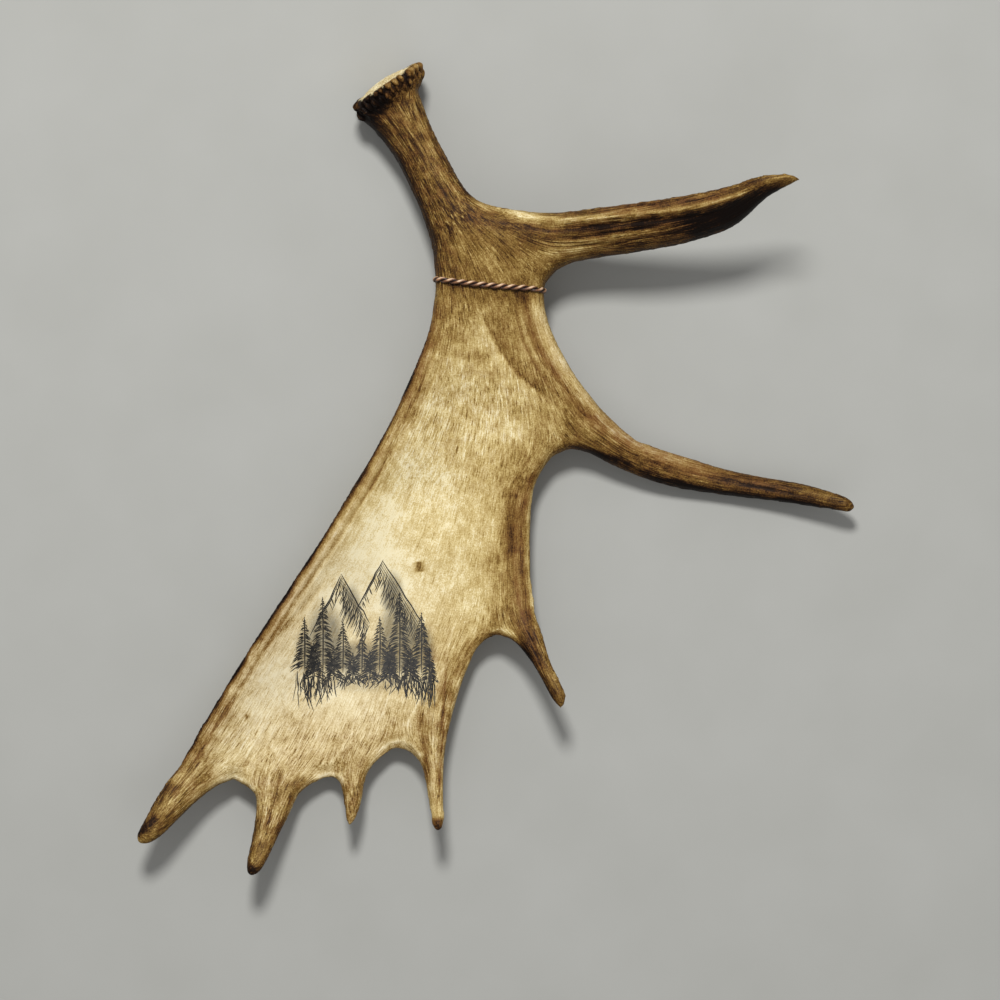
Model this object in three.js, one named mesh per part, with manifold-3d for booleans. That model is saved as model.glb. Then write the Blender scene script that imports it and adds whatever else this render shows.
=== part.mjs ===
// A moose antler with a cord tied round its neck, lying on its back with the hollow of the palm up.
// Millimetres. +X runs along the tines, +Y towards the burr, +Z up from the surface it lies on.
//
// The antler is drawn in plan as a set of edges. Between the edges it is blown up like a cushion:
// every point of the plan gets a middle height and a half thickness, and the two surfaces meet
// along the outline. It grew as one bone, and is split here at its main forks.
import * as THREE from 'three';
import { mergeVertices } from 'three/addons/utils/BufferGeometryUtils.js';
import Module from 'manifold-3d';

const wasm = await Module();
wasm.setup();

const KERF = 0.3;             // gap left where the bone is split
const CELL = 1;               // size of a square in the thickness map
const SWEEPS = 260;           // passes that settle the thickness map
const OVERSHOOT = 1.85;       // how far each pass overshoots, to settle sooner
const EDGE_CROWDING = 0.75;   // 0 spaces the columns evenly, 1 crowds them to the edges
const LEAST_HEIGHT = 0.5;     // the upper surface never comes nearer to the floor than this
const LEAST_HALF = 0.25;      // half thickness that the bone keeps right up to its tips

const BURR_CENTRE = [-109, 381, 38.5];
const BURR_AXIS = [-0.55, 0.83, 0.14];
const BURR_RADIUS = 37.5;
const PEARLS = 20;
const PEARL_HEIGHT = 1.9;
const STUB_LENGTH = 45;       // how far the plan runs on behind the burr, to keep the beam round

const CORD_RADIUS = 3;
const CORD_CLEARANCE = 0.5;
const CORD_FROM = [-63.5, 195];
const CORD_TO = [49.5, 181.5];
const KNOT_RADIUS = 6.5;

const rail = (...points) => new THREE.SplineCurve(points.map(([x, y]) => new THREE.Vector2(x, y)));

// Edges of the plan, each drawn away from the burr or away from the fork that it starts at.
const BEAM_REAR = rail(
  [-139.5, 357], [-134.5, 348], [-126, 341], [-117, 331], [-101, 309], [-86, 279], [-76, 256],
);
const BEAM_FRONT = rail(
  [-84, 389], [-75.5, 368.5], [-64.5, 340], [-48.5, 309], [-32, 279.5], [-15, 265], [5, 259],
);
const FORK_REAR = rail([-76, 256], [-67, 229], [-63, 207], [-62.5, 186]);
const BROW_ROOT = rail([5, 259], [48, 184]);
const NECK_REAR = rail([-62.5, 186], [-62.3, 172]);
const NECK_FRONT = rail([48, 184], [47, 169]);

const BROW_TOP = rail(
  [5, 259], [53, 254], [102, 258], [150, 263], [199, 270], [232, 277], [246.5, 282.5], [270, 287],
  [284.5, 286], [291.5, 281],
);
const BROW_FOOT = rail(
  [48, 184], [53, 192], [62.5, 199], [82.5, 206.5], [132, 213], [181, 221], [219, 231.5], [238.5, 241.5],
  [251.5, 253], [263.5, 264], [280, 276.5], [291.5, 281],
);

const SHOULDER_REAR = rail([-62.3, 172], [-68, 139], [-83, 99]);
const SHOULDER_FRONT = rail([47, 169], [49, 149], [57, 129], [74, 99]);
const CHEEK_REAR = rail([-83, 99], [-106, 49], [-126, 12]);
const SIDE_ROOT = rail([74, 99], [56, 12.5]);
const PALM_REAR = rail([-126, 12], [-171, -61], [-211, -121], [-250, -181], [-287, -241], [-321, -301]);
const PALM_FRONT = rail([56, 12.5], [46, -1], [37.5, -21], [34, -61], [35.5, -111], [41, -151]);

const SIDE_TOP = rail(
  [74, 99], [88, 79], [105, 59], [133, 31], [153, 23], [203, 7], [253, -5], [303, -14], [340, -24.5],
  [354, -31], [358.5, -38.5],
);
const SIDE_FOOT = rail(
  [56, 12.5], [73, 20], [88, 17.5], [113, 5], [143, -8], [173, -17], [213, -24], [283, -33],
  [340, -41.5], [353, -43], [358.5, -38.5],
);

// The far edge of the palm, from rear to front: the root of each point, how many columns of the palm
// end on it, and the bare web that follows it, one column for each spot.
const ROOTS = [
  { from: [-321, -301], to: [-264, -312], columns: 4, web: [] },
  { from: [-264, -312], to: [-171, -310], columns: 5, web: [] },
  { from: [-171, -310], to: [-107, -283], columns: 4, web: [[-97, -281.5]] },
  { from: [-97, -281.5], to: [-22, -184.5], columns: 5, web: [[-12, -172], [1, -166.5]] },
  { from: [1, -166.5], to: [41, -151], columns: 3, web: [] },
];

const POINTS = [
  {
    rear: rail([-321, -301], [-336, -321.5], [-351, -349], [-358, -363], [-358, -370.5]),
    front: rail(
      [-264, -312], [-277, -315.5], [-297, -330], [-316, -348], [-335.5, -367], [-350, -373.5],
      [-358, -370.5],
    ),
  },
  {
    rear: rail(
      [-264, -312], [-252, -317.5], [-243, -324], [-241, -337], [-244, -364.5], [-249.5, -396],
      [-245.5, -405],
    ),
    front: rail(
      [-171, -310], [-185, -315], [-197, -324], [-206, -342], [-224, -379], [-235, -400],
      [-245.5, -405],
    ),
  },
  {
    rear: rail([-171, -310], [-162, -310], [-157, -316], [-152.5, -334], [-150.5, -350], [-147, -356.5]),
    front: rail([-107, -283], [-121, -293], [-131, -308], [-135, -331], [-141.5, -350], [-147, -356.5]),
  },
  {
    rear: rail(
      [-97, -281.5], [-86, -285], [-77.5, -294], [-72, -311], [-66.5, -340], [-64.5, -355],
      [-59.5, -361],
    ),
    front: rail(
      [-22, -184.5], [-30, -201], [-40, -231], [-50.5, -271], [-53.5, -310], [-52.5, -352],
      [-59.5, -361],
    ),
  },
  {
    rear: rail([1, -166.5], [9, -168], [17, -172], [32, -190], [44.5, -210], [54.5, -228.5], [63.5, -239]),
    front: rail([41, -151], [47, -171], [54, -194], [62.5, -211], [69, -226.5], [63.5, -239]),
  },
];

// Spot heights: x, y, height of the middle surface over the floor.
const SPOT_HEIGHTS = [
  [-111, 373, 40], [-92, 339, 41], [-70, 294, 43], [-42, 244, 46],
  [-57, 209, 44], [-7, 214, 46], [33, 234, 57],
  [103, 257, 86], [103, 219, 66], [153, 263, 103], [153, 224, 80], [203, 273, 121], [203, 233, 90],
  [248, 285, 137], [248, 255, 112], [293, 292, 148],
  [-57, 149, 44], [-7, 149, 39], [43, 159, 47],
  [-87, 84, 41], [-27, 79, 29], [61, 84, 42],
  [-147, -21, 38], [-67, -21, 16], [30, -31, 36],
  [-227, -151, 37], [-147, -151, 6], [-57, -141, 13.5], [33, -121, 41],
  [-292, -256, 38], [-207, -251, 9.5], [-117, -231, 12.5],
  [-292, -306, 36], [-357, -371, 58],
  [-217, -316, 25], [-244, -403, 62],
  [-135, -296, 25], [-148, -356, 52],
  [-57, -251, 31], [-61, -311, 44], [-60, -359, 64],
  [23, -163, 45], [63, -237, 72],
  [88, 49, 34], [143, 9, 22], [203, -9, 13.2], [283, -23, 19], [355, -39, 34],
];

// Spot half thicknesses: x, y, half thickness that a wide plate would have there.
const SPOT_PLATES = [
  [-111, 373, 46], [-70, 294, 46], [-42, 244, 32], [-7, 204, 24], [-7, 169, 22],
  [53, 234, 26], [153, 244, 24], [248, 270, 20],
  [-67, 134, 18], [-7, 124, 15], [45, 134, 18],
  [-107, 44, 14], [-37, 39, 9], [60, 44, 16],
  [-157, -41, 12.5], [-77, -41, 5.5], [28, -61, 8],
  [-237, -171, 12], [-157, -151, 5], [-57, -141, 5], [33, -131, 9],
  [-302, -276, 12], [-207, -251, 5.5], [-117, -231, 5],
  [-327, -336, 16], [-227, -346, 14], [-145, -321, 12], [-57, -281, 12], [45, -191, 12],
  [100, 39, 24], [203, -9, 26], [303, -26, 26],
];

// ---------------------------------------------------------------- plan

/** Fractions from 0 to 1 that crowd towards both ends, where the bone turns over fastest. */
function columnFractions(columns) {
  return Array.from({ length: columns + 1 }, (_, j) => {
    const even = j / columns;
    const crowded = (1 - Math.cos(Math.PI * even)) / 2;
    return THREE.MathUtils.lerp(even, crowded, EDGE_CROWDING);
  });
}

/** Rows of plan points that run straight from one edge to the other. */
function band(rear, front, rows, columns, towardsTip = false) {
  const across = columnFractions(columns);
  return Array.from({ length: rows + 1 }, (_, i) => {
    const along = towardsTip ? Math.sin((Math.PI / 2) * (i / rows)) : i / rows;
    const from = rear.getPointAt(along);
    const to = front.getPointAt(along);
    return across.map((share) => from.clone().lerp(to, share));
  });
}

/** The far edge of the palm as one row, with a column on every corner of it. */
function farEdge() {
  const line = [new THREE.Vector2(...ROOTS[0].from)];
  ROOTS.forEach((root) => {
    const from = new THREE.Vector2(...root.from);
    const to = new THREE.Vector2(...root.to);
    for (let j = 1; j <= root.columns; j += 1) {
      line.push(from.clone().lerp(to, j / root.columns));
    }
    line.push(...root.web.map(([x, y]) => new THREE.Vector2(x, y)));
  });
  return line;
}

/** Rows that change over from a straight line across the palm to its far edge. */
function fan(rear, front, farLine, rows) {
  const across = columnFractions(farLine.length - 1);
  const nearRear = rear.getPointAt(0);
  const nearFront = front.getPointAt(0);
  const bulge = (edge, along) => {
    const straight = edge.getPointAt(0).lerp(edge.getPointAt(1), along);
    return edge.getPointAt(along).sub(straight);
  };
  return Array.from({ length: rows + 1 }, (_, i) => {
    const along = i / rows;
    return across.map((share, j) => nearRear.clone().lerp(nearFront, share)
      .lerp(farLine[j], along)
      .addScaledVector(bulge(rear, along), 1 - share)
      .addScaledVector(bulge(front, along), share));
  });
}

/** Bands laid end to end, with the row that two of them share kept once. */
const joinBands = (...bands) => bands.flatMap((rows, index) => (index === 0 ? rows : rows.slice(1)));

const FAR_EDGE = farEdge();
const PALM_COLUMNS = FAR_EDGE.length - 1;
const BEAM_COLUMNS = 12;
const TINE_COLUMNS = 9;
const POINT_COLUMNS = 6;
const MID = 3;                // a column well inside every piece
const BEAM_ROWS = { shaft: 14, fork: 8, neck: 2 };
const PALM_ROWS = { shoulder: 7, cheek: 7, plate: 22 };

const beamRows = joinBands(
  band(BEAM_REAR, BEAM_FRONT, BEAM_ROWS.shaft, BEAM_COLUMNS),
  band(FORK_REAR, BROW_ROOT, BEAM_ROWS.fork, BEAM_COLUMNS),
  band(NECK_REAR, NECK_FRONT, BEAM_ROWS.neck, BEAM_COLUMNS),
);
const palmRows = joinBands(
  band(SHOULDER_REAR, SHOULDER_FRONT, PALM_ROWS.shoulder, PALM_COLUMNS),
  band(CHEEK_REAR, SIDE_ROOT, PALM_ROWS.cheek, PALM_COLUMNS),
  fan(PALM_REAR, PALM_FRONT, FAR_EDGE, PALM_ROWS.plate),
);
const browRows = band(BROW_FOOT, BROW_TOP, 24, TINE_COLUMNS, true);
const sideRows = band(SIDE_FOOT, SIDE_TOP, 26, TINE_COLUMNS, true);
const pointRows = POINTS.map(({ rear, front }) => band(rear, front, 13, POINT_COLUMNS, true));

const firstOf = (row) => row[0];
const lastOf = (row) => row[row.length - 1];

/** The closed outline, walked from the burr down the rear edge and back up the front edge. */
function outline() {
  const neckRow = BEAM_ROWS.shaft + BEAM_ROWS.fork;
  const cheekRow = PALM_ROWS.shoulder + PALM_ROWS.cheek;
  const stub = new THREE.Vector2(BURR_AXIS[0], BURR_AXIS[1]).setLength(STUB_LENGTH);
  const backUp = (rows, end) => rows.map(end).reverse();
  return [
    firstOf(beamRows[0]).clone().add(stub),
    ...beamRows.map(firstOf),
    ...palmRows.map(firstOf),
    ...pointRows.flatMap((rows, k) => [
      ...rows.map(firstOf),
      ...backUp(rows, lastOf),
      ...ROOTS[k].web.map(([x, y]) => new THREE.Vector2(x, y)),
    ]),
    ...backUp(palmRows.slice(cheekRow), lastOf),
    ...sideRows.map(firstOf),
    ...backUp(sideRows, lastOf),
    ...backUp(palmRows.slice(0, PALM_ROWS.shoulder + 1), lastOf),
    ...backUp(beamRows.slice(neckRow), lastOf),
    ...browRows.map(firstOf),
    ...backUp(browRows, lastOf),
    ...backUp(beamRows.slice(0, BEAM_ROWS.shaft + 1), lastOf),
    lastOf(beamRows[0]).clone().add(stub),
  ];
}

// ---------------------------------------------------------------- heights

/** Gaussian elimination with pivoting, for the few dozen unknowns of the bent plate. */
function solve(matrix, values) {
  const rows = matrix.map((row, i) => [...row, values[i]]);
  const size = rows.length;
  for (let k = 0; k < size; k += 1) {
    let pivot = k;
    for (let i = k + 1; i < size; i += 1) {
      if (Math.abs(rows[i][k]) > Math.abs(rows[pivot][k])) pivot = i;
    }
    [rows[k], rows[pivot]] = [rows[pivot], rows[k]];
    for (let i = k + 1; i < size; i += 1) {
      const share = rows[i][k] / rows[k][k];
      for (let j = k; j <= size; j += 1) rows[i][j] -= share * rows[k][j];
    }
  }
  const answer = new Array(size).fill(0);
  for (let i = size - 1; i >= 0; i -= 1) {
    const known = answer.reduce((sum, value, j) => (j > i ? sum + rows[i][j] * value : sum), 0);
    answer[i] = (rows[i][size] - known) / rows[i][i];
  }
  return answer;
}

/** A thin elastic plate bent through the spot heights: a function of x and y. */
function bentPlate(spots) {
  const UNIT = 100;
  const kernel = (dx, dy) => {
    const square = (dx * dx + dy * dy) / (UNIT * UNIT);
    return square > 0 ? square * Math.log(square) : 0;
  };
  const flat = (x, y) => [1, x / UNIT, y / UNIT];
  const matrix = spots.map(([x, y]) => [...spots.map(([u, v]) => kernel(x - u, y - v)), ...flat(x, y)]);
  for (let k = 0; k < 3; k += 1) {
    matrix.push([...spots.map(([x, y]) => flat(x, y)[k]), 0, 0, 0]);
  }
  const weights = solve(matrix, [...spots.map((spot) => spot[2]), 0, 0, 0]);
  return (x, y) => {
    const terms = [...spots.map(([u, v]) => kernel(x - u, y - v)), ...flat(x, y)];
    return terms.reduce((sum, term, k) => sum + term * weights[k], 0);
  };
}

/** The mean of the spot values, each weighed by how near it is. */
function nearMean(spots) {
  const SOFTNESS = 12;
  return (x, y) => {
    let total = 0;
    let weight = 0;
    spots.forEach(([u, v, value]) => {
      const nearness = 1 / ((x - u) ** 2 + (y - v) ** 2 + SOFTNESS ** 2) ** 2;
      total += nearness * value;
      weight += nearness;
    });
    return total / weight;
  };
}

/** Marks the squares of the thickness map whose centres lie inside the outline. */
function squaresInside(line, origin, wide, high) {
  const inside = new Uint8Array(wide * high);
  for (let row = 0; row < high; row += 1) {
    const y = origin.y + row * CELL;
    const crossings = [];
    line.forEach((a, k) => {
      const b = line[(k + 1) % line.length];
      if ((a.y > y) !== (b.y > y)) crossings.push(a.x + ((y - a.y) / (b.y - a.y)) * (b.x - a.x));
    });
    crossings.sort((p, q) => p - q);
    for (let k = 0; k + 1 < crossings.length; k += 2) {
      const first = Math.ceil((crossings[k] - origin.x) / CELL);
      const last = Math.floor((crossings[k + 1] - origin.x) / CELL);
      for (let column = first; column <= last; column += 1) inside[row * wide + column] = 1;
    }
  }
  return inside;
}

/**
 * Half thickness over the plan. A membrane is held along the outline and blown up, and springs
 * hold it down where the plate is thin. In a narrow tine it comes out as a half circle.
 */
function halfThickness(line, plateAt) {
  const box = new THREE.Box2().setFromPoints(line).expandByScalar(2 * CELL);
  const origin = box.min;
  const wide = Math.ceil((box.max.x - origin.x) / CELL) + 1;
  const high = Math.ceil((box.max.y - origin.y) / CELL) + 1;
  const inside = squaresInside(line, origin, wide, high);
  const swell = new Float64Array(wide * high);
  const stiffness = new Float64Array(wide * high);
  inside.forEach((yes, k) => {
    const plate = yes ? plateAt(origin.x + (k % wide) * CELL, origin.y + Math.floor(k / wide) * CELL) : 1;
    stiffness[k] = 4 + (2 * CELL * CELL) / (plate * plate);
  });
  for (let sweep = 0; sweep < SWEEPS; sweep += 1) {
    for (let k = wide; k < swell.length - wide; k += 1) {
      if (inside[k]) {
        const around = swell[k - 1] + swell[k + 1] + swell[k - wide] + swell[k + wide];
        const settled = (around + CELL * CELL) / stiffness[k];
        swell[k] += OVERSHOOT * (settled - swell[k]);
      }
    }
  }
  return (x, y) => {
    const across = (x - origin.x) / CELL;
    const up = (y - origin.y) / CELL;
    const column = Math.floor(across);
    const row = Math.floor(up);
    const k = row * wide + column;
    const near = THREE.MathUtils.lerp(swell[k], swell[k + 1], across - column);
    const far = THREE.MathUtils.lerp(swell[k + wide], swell[k + wide + 1], across - column);
    return Math.sqrt(2 * Math.max(0, THREE.MathUtils.lerp(near, far, up - row)));
  };
}

const OUTLINE = outline();
const onOutline = new Set(OUTLINE.map((point) => `${point.x.toFixed(3)} ${point.y.toFixed(3)}`));
const middle = bentPlate(SPOT_HEIGHTS);
const thickness = halfThickness(OUTLINE, nearMean(SPOT_PLATES));

/** Upper and lower heights of the bone over a point of the plan; the floor flattens the lowest. */
function heights(point) {
  const rimmed = onOutline.has(`${point.x.toFixed(3)} ${point.y.toFixed(3)}`);
  const half = rimmed ? 0 : Math.max(thickness(point.x, point.y), LEAST_HALF);
  const mid = middle(point.x, point.y);
  return { upper: Math.max(mid + half, LEAST_HEIGHT), lower: Math.max(mid - half, 0) };
}

// ---------------------------------------------------------------- solids

/** Draws a straight cut back by half the kerf, towards the inside of its own piece. */
function drawBack(cut, inner) {
  const chord = lastOf(cut).clone().sub(firstOf(cut)).normalize();
  const inward = inner.clone().sub(firstOf(cut));
  inward.addScaledVector(chord, -inward.dot(chord)).setLength(KERF / 2);
  cut.forEach((point) => point.add(inward));
  firstOf(cut).addScaledVector(chord, KERF / 2);
  lastOf(cut).addScaledVector(chord, -KERF / 2);
}

/** A closed surface from rows of plan points: an upper sheet, a lower sheet and the walls between. */
function closedSkin(rows, cuts) {
  const columns = rows[0].length;
  const levels = rows.map((row) => row.map(heights));
  const plan = rows.map((row) => row.map((point) => point.clone()));
  cuts(plan).forEach(([cut, inner]) => drawBack(cut, inner));
  const positions = [];
  for (const level of ['upper', 'lower']) {
    plan.forEach((row, i) => row.forEach((point, j) => {
      positions.push(point.x, point.y, levels[i][j][level]);
    }));
  }
  const count = rows.length * columns;
  const triangles = [];
  const quad = (a, b, c, d) => triangles.push([a, b, c], [a, c, d]);
  for (let i = 0; i + 1 < rows.length; i += 1) {
    for (let j = 0; j + 1 < columns; j += 1) {
      const a = i * columns + j;
      const corners = [a, a + columns, a + columns + 1, a + 1];
      const turn = (i + j) % 2;
      const [p, q, r, s] = turn ? corners : [corners[1], corners[2], corners[3], corners[0]];
      quad(p, q, r, s);
      quad(s + count, r + count, q + count, p + count);
    }
    const rear = i * columns;
    const front = rear + columns - 1;
    quad(rear, rear + count, rear + columns + count, rear + columns);
    quad(front + columns, front + columns + count, front + count, front);
  }
  const end = (rows.length - 1) * columns;
  for (let j = 0; j + 1 < columns; j += 1) {
    quad(j + 1, j + 1 + count, j + count, j);
    quad(end + j, end + j + count, end + j + 1 + count, end + j + 1);
  }
  return weld(positions, triangles.flat());
}

/** Merges points that coincide and drops triangles that have collapsed. */
function weld(positions, indices) {
  const loose = new THREE.BufferGeometry();
  loose.setAttribute('position', new THREE.Float32BufferAttribute(positions, 3));
  loose.setIndex(indices);
  const merged = mergeVertices(loose, 2e-3);
  const kept = [];
  const index = merged.index.array;
  for (let k = 0; k < index.length; k += 3) {
    const [a, b, c] = index.slice(k, k + 3);
    if (a !== b && b !== c && c !== a) kept.push(a, b, c);
  }
  merged.setIndex(kept);
  return merged;
}

function toSolid(geometry) {
  return new wasm.Manifold(new wasm.Mesh({
    numProp: 3,
    vertProperties: new Float32Array(geometry.attributes.position.array),
    triVerts: new Uint32Array(geometry.index.array),
  }));
}

function toGeometry(solid) {
  const mesh = solid.getMesh();
  return weld(Array.from(mesh.vertProperties), Array.from(mesh.triVerts));
}

/** The burr: a thick, pearled collar with the slightly domed pedicle face on its far side. */
function burr() {
  const profile = [
    [0, -19], [27, -18], [31.5, -15], [35.5, -10], [38, -5], [39, 1], [36.5, 5], [31, 4], [25, 6.5],
    [14, 8.8], [0, 9.5],
  ];
  const turned = new THREE.LatheGeometry(
    profile.map(([radius, height]) => new THREE.Vector2((radius * BURR_RADIUS) / 39, height)),
    2 * PEARLS,
  );
  turned.deleteAttribute('normal');
  turned.deleteAttribute('uv');
  const collar = mergeVertices(turned, 1e-3);
  const spots = collar.attributes.position;
  for (let k = 0; k < spots.count; k += 1) {
    const radius = Math.hypot(spots.getX(k), spots.getZ(k));
    const rim = THREE.MathUtils.smoothstep(radius, 30, 36);
    const angle = Math.atan2(spots.getZ(k), spots.getX(k));
    const swell = 1 + (rim * PEARL_HEIGHT * Math.cos(PEARLS * angle)) / BURR_RADIUS;
    spots.setXYZ(k, spots.getX(k) * swell, spots.getY(k), spots.getZ(k) * swell);
  }
  const axis = new THREE.Vector3(...BURR_AXIS).normalize();
  collar.applyQuaternion(new THREE.Quaternion().setFromUnitVectors(new THREE.Vector3(0, 1, 0), axis));
  collar.translate(...BURR_CENTRE);
  for (let k = 0; k < spots.count; k += 1) {
    spots.setZ(k, Math.max(spots.getZ(k), 0));
  }
  return weld(Array.from(spots.array), Array.from(collar.index.array));
}

function beam() {
  const forkTop = BEAM_ROWS.shaft;
  const forkFoot = BEAM_ROWS.shaft + BEAM_ROWS.fork;
  const shaft = closedSkin(beamRows, (plan) => [
    [plan[plan.length - 1], plan[plan.length - 2][MID]],
    [plan.slice(forkTop, forkFoot + 1).map(lastOf), plan[forkTop + 1][MID]],
  ]);
  return toGeometry(toSolid(shaft).add(toSolid(burr())));
}

function palm() {
  const cheekTop = PALM_ROWS.shoulder;
  const cheekFoot = PALM_ROWS.shoulder + PALM_ROWS.cheek;
  return closedSkin(palmRows, (plan) => {
    const far = plan[plan.length - 1];
    const near = plan[plan.length - 2];
    let column = 0;
    const roots = ROOTS.map(({ columns, web }) => {
      const cut = far.slice(column, column + columns + 1);
      column += columns + web.length;
      return [cut, near[column - web.length - 1]];
    });
    const sideRoot = plan.slice(cheekTop, cheekFoot + 1).map(lastOf);
    return [[plan[0], plan[1][MID]], [sideRoot, plan[cheekTop + 1][MID]], ...roots];
  });
}

/** A tine or point, cut off straight at its root. */
const branch = (rows) => closedSkin(rows, (plan) => [[plan[0], plan[1][MID]]]);

/** Points round the neck where the cord lies, with the direction out of the bone at each. */
function cordRoute() {
  const COUNT = 18;
  const from = new THREE.Vector2(...CORD_FROM);
  const to = new THREE.Vector2(...CORD_TO);
  const along = to.clone().sub(from).normalize();
  const upper = [];
  const lower = [];
  columnFractions(COUNT).forEach((share) => {
    const spot = from.clone().lerp(to, share);
    const inner = Math.min(Math.max(share, 0.012), 0.988);
    const level = heights(from.clone().lerp(to, inner));
    const half = share === 0 || share === 1 ? 0 : 1;
    const mid = (level.upper + level.lower) / 2;
    upper.push(new THREE.Vector3(spot.x, spot.y, mid + half * (level.upper - mid)));
    lower.push(new THREE.Vector3(spot.x, spot.y, mid + half * (level.lower - mid)));
  });
  const loop = new THREE.CatmullRomCurve3([...upper, ...lower.slice(1, -1).reverse()], true);
  const side = new THREE.Vector3(-along.y, along.x, 0);
  return { loop, side };
}

/** The cord as a plain closed ring round the neck, with its knot underneath. */
function cordWrap() {
  const SIDES = 8;
  const STEPS = 48;
  const { loop, side } = cordRoute();
  const ring = new THREE.TorusGeometry(1, 0.1, SIDES, STEPS);
  ring.deleteAttribute('normal');
  ring.deleteAttribute('uv');
  const tube = mergeVertices(ring, 1e-4);
  const spots = tube.attributes.position;
  let lowest = new THREE.Vector3(0, 0, Infinity);
  for (let k = 0; k < spots.count; k += 1) {
    const turn = (Math.atan2(spots.getY(k), spots.getX(k)) / (2 * Math.PI) + 1) % 1;
    const around = Math.atan2(spots.getZ(k), Math.hypot(spots.getX(k), spots.getY(k)) - 1);
    const outward = loop.getTangentAt(turn).cross(side).normalize();
    const centre = loop.getPointAt(turn).addScaledVector(outward, CORD_RADIUS + CORD_CLEARANCE);
    if (centre.z < lowest.z) lowest = centre.clone();
    centre.addScaledVector(outward, CORD_RADIUS * Math.cos(around));
    centre.addScaledVector(side, CORD_RADIUS * Math.sin(around));
    spots.setXYZ(k, centre.x, centre.y, centre.z);
  }
  const lump = new THREE.IcosahedronGeometry(KNOT_RADIUS, 1);
  lump.deleteAttribute('normal');
  lump.deleteAttribute('uv');
  lump.scale(1, 1, 0.5);
  lump.translate(lowest.x, lowest.y, lowest.z - 0.5);
  const knot = mergeVertices(lump, 1e-3);
  const bent = weld(Array.from(spots.array), Array.from(tube.index.array));
  return toGeometry(toSolid(bent).add(toSolid(knot)));
}

// ---------------------------------------------------------------- assembly

const matt = (color, roughness) => new THREE.MeshStandardMaterial({ color, roughness, metalness: 0 });
const bone = (color) => matt(color, 0.55);

function piece(name, geometry, material) {
  const mesh = new THREE.Mesh(geometry, material);
  mesh.name = name;
  return mesh;
}

const antler = new THREE.Group();
antler.add(
  piece('beam', beam(), bone(0x8c6932)),
  piece('brow_tine', branch(browRows), bone(0x785023)),
  piece('palm', palm(), bone(0xd7b97d)),
  piece('side_tine', branch(sideRows), bone(0x966932)),
  ...pointRows.map((rows, k) => piece(`point_${k + 1}`, branch(rows), bone(0xb9915a))),
  piece('cord_wrap', cordWrap(), matt(0x7a4a2c, 0.6)),
);

// The origin is on the floor, under the middle of the antler's box.
const box = new THREE.Box3().setFromObject(antler, true);
const centre = box.getCenter(new THREE.Vector3());
antler.position.set(-centre.x, -centre.y, -box.min.z);

export default antler;
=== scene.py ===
# %% [markdown]
# # A moose antler with a cord round its neck
#
# A shed antler is one grown bone: a round shaft with a knobbly burr at its root, a first fork to a
# long blade of a brow tine, and then a broad dished palm with a side tine and five points. It lies
# on its back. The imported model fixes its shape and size, and this file gives it its surface: one
# unbroken skin, sculpted along the grain, stained and polished by handling, with a cord tied on.
#
# We work in metres inside Blender, but a maker thinks in millimetres, so places on the antler are
# written as millimetres in plan and turned into metres by `plan`.

# %% Load the frame
import math
import random
import time
from typing import NamedTuple

import bmesh
import bpy
import numpy as np
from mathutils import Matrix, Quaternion, Vector, noise
from mathutils.bvhtree import BVHTree
from mathutils.kdtree import KDTree


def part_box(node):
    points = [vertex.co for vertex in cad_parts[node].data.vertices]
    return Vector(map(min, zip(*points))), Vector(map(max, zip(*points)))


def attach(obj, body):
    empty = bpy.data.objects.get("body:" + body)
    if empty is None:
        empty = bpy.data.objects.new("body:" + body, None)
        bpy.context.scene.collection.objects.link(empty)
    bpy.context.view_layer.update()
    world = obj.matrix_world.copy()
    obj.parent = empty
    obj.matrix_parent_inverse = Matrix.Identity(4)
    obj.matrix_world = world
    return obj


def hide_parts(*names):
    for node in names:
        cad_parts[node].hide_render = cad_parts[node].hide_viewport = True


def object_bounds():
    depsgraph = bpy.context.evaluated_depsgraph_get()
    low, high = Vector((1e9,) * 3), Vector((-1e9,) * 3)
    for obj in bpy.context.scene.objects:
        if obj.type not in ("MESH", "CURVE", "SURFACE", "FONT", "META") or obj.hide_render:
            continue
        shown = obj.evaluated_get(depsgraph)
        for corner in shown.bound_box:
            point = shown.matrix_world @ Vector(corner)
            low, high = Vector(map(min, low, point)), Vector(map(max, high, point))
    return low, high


started = time.time()
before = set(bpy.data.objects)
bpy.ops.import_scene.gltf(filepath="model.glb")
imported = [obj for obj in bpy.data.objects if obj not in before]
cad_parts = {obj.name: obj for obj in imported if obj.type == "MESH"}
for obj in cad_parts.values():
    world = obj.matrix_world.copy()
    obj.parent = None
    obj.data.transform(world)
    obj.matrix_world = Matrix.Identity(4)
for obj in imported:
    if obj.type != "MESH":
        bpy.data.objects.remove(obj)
cad_low, cad_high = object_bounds()
MM = 0.001
BONE_NODES = [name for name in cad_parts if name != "cord_wrap"]
print("frame box", tuple(cad_low), tuple(cad_high))

# %% Places in plan
DRAWING_OFFSET = (-0.01, -0.42)


def plan(*spots):
    """Spots given in millimetres on the drawing of the antler, as an array of metres in the frame."""
    return (np.array(spots, float) + DRAWING_OFFSET) * MM


def tell(words):
    print(f"{time.time() - started:6.1f} s  {words}")


# %% Objects and meshes
def linked(name, data):
    """A new object in the scene that holds the data."""
    holder = bpy.data.objects.new(name, data)
    bpy.context.scene.collection.objects.link(holder)
    return holder


def baked(holder):
    """What an object's modifiers or bevel make of it, as a mesh. The object itself goes."""
    graph = bpy.context.evaluated_depsgraph_get()
    mesh = bpy.data.meshes.new_from_object(holder.evaluated_get(graph))
    bpy.data.objects.remove(holder)
    return mesh


def as_mesh(net, name):
    """Turns a bmesh into a mesh and frees it."""
    mesh = bpy.data.meshes.new(name)
    net.to_mesh(mesh)
    net.free()
    return mesh


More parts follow.
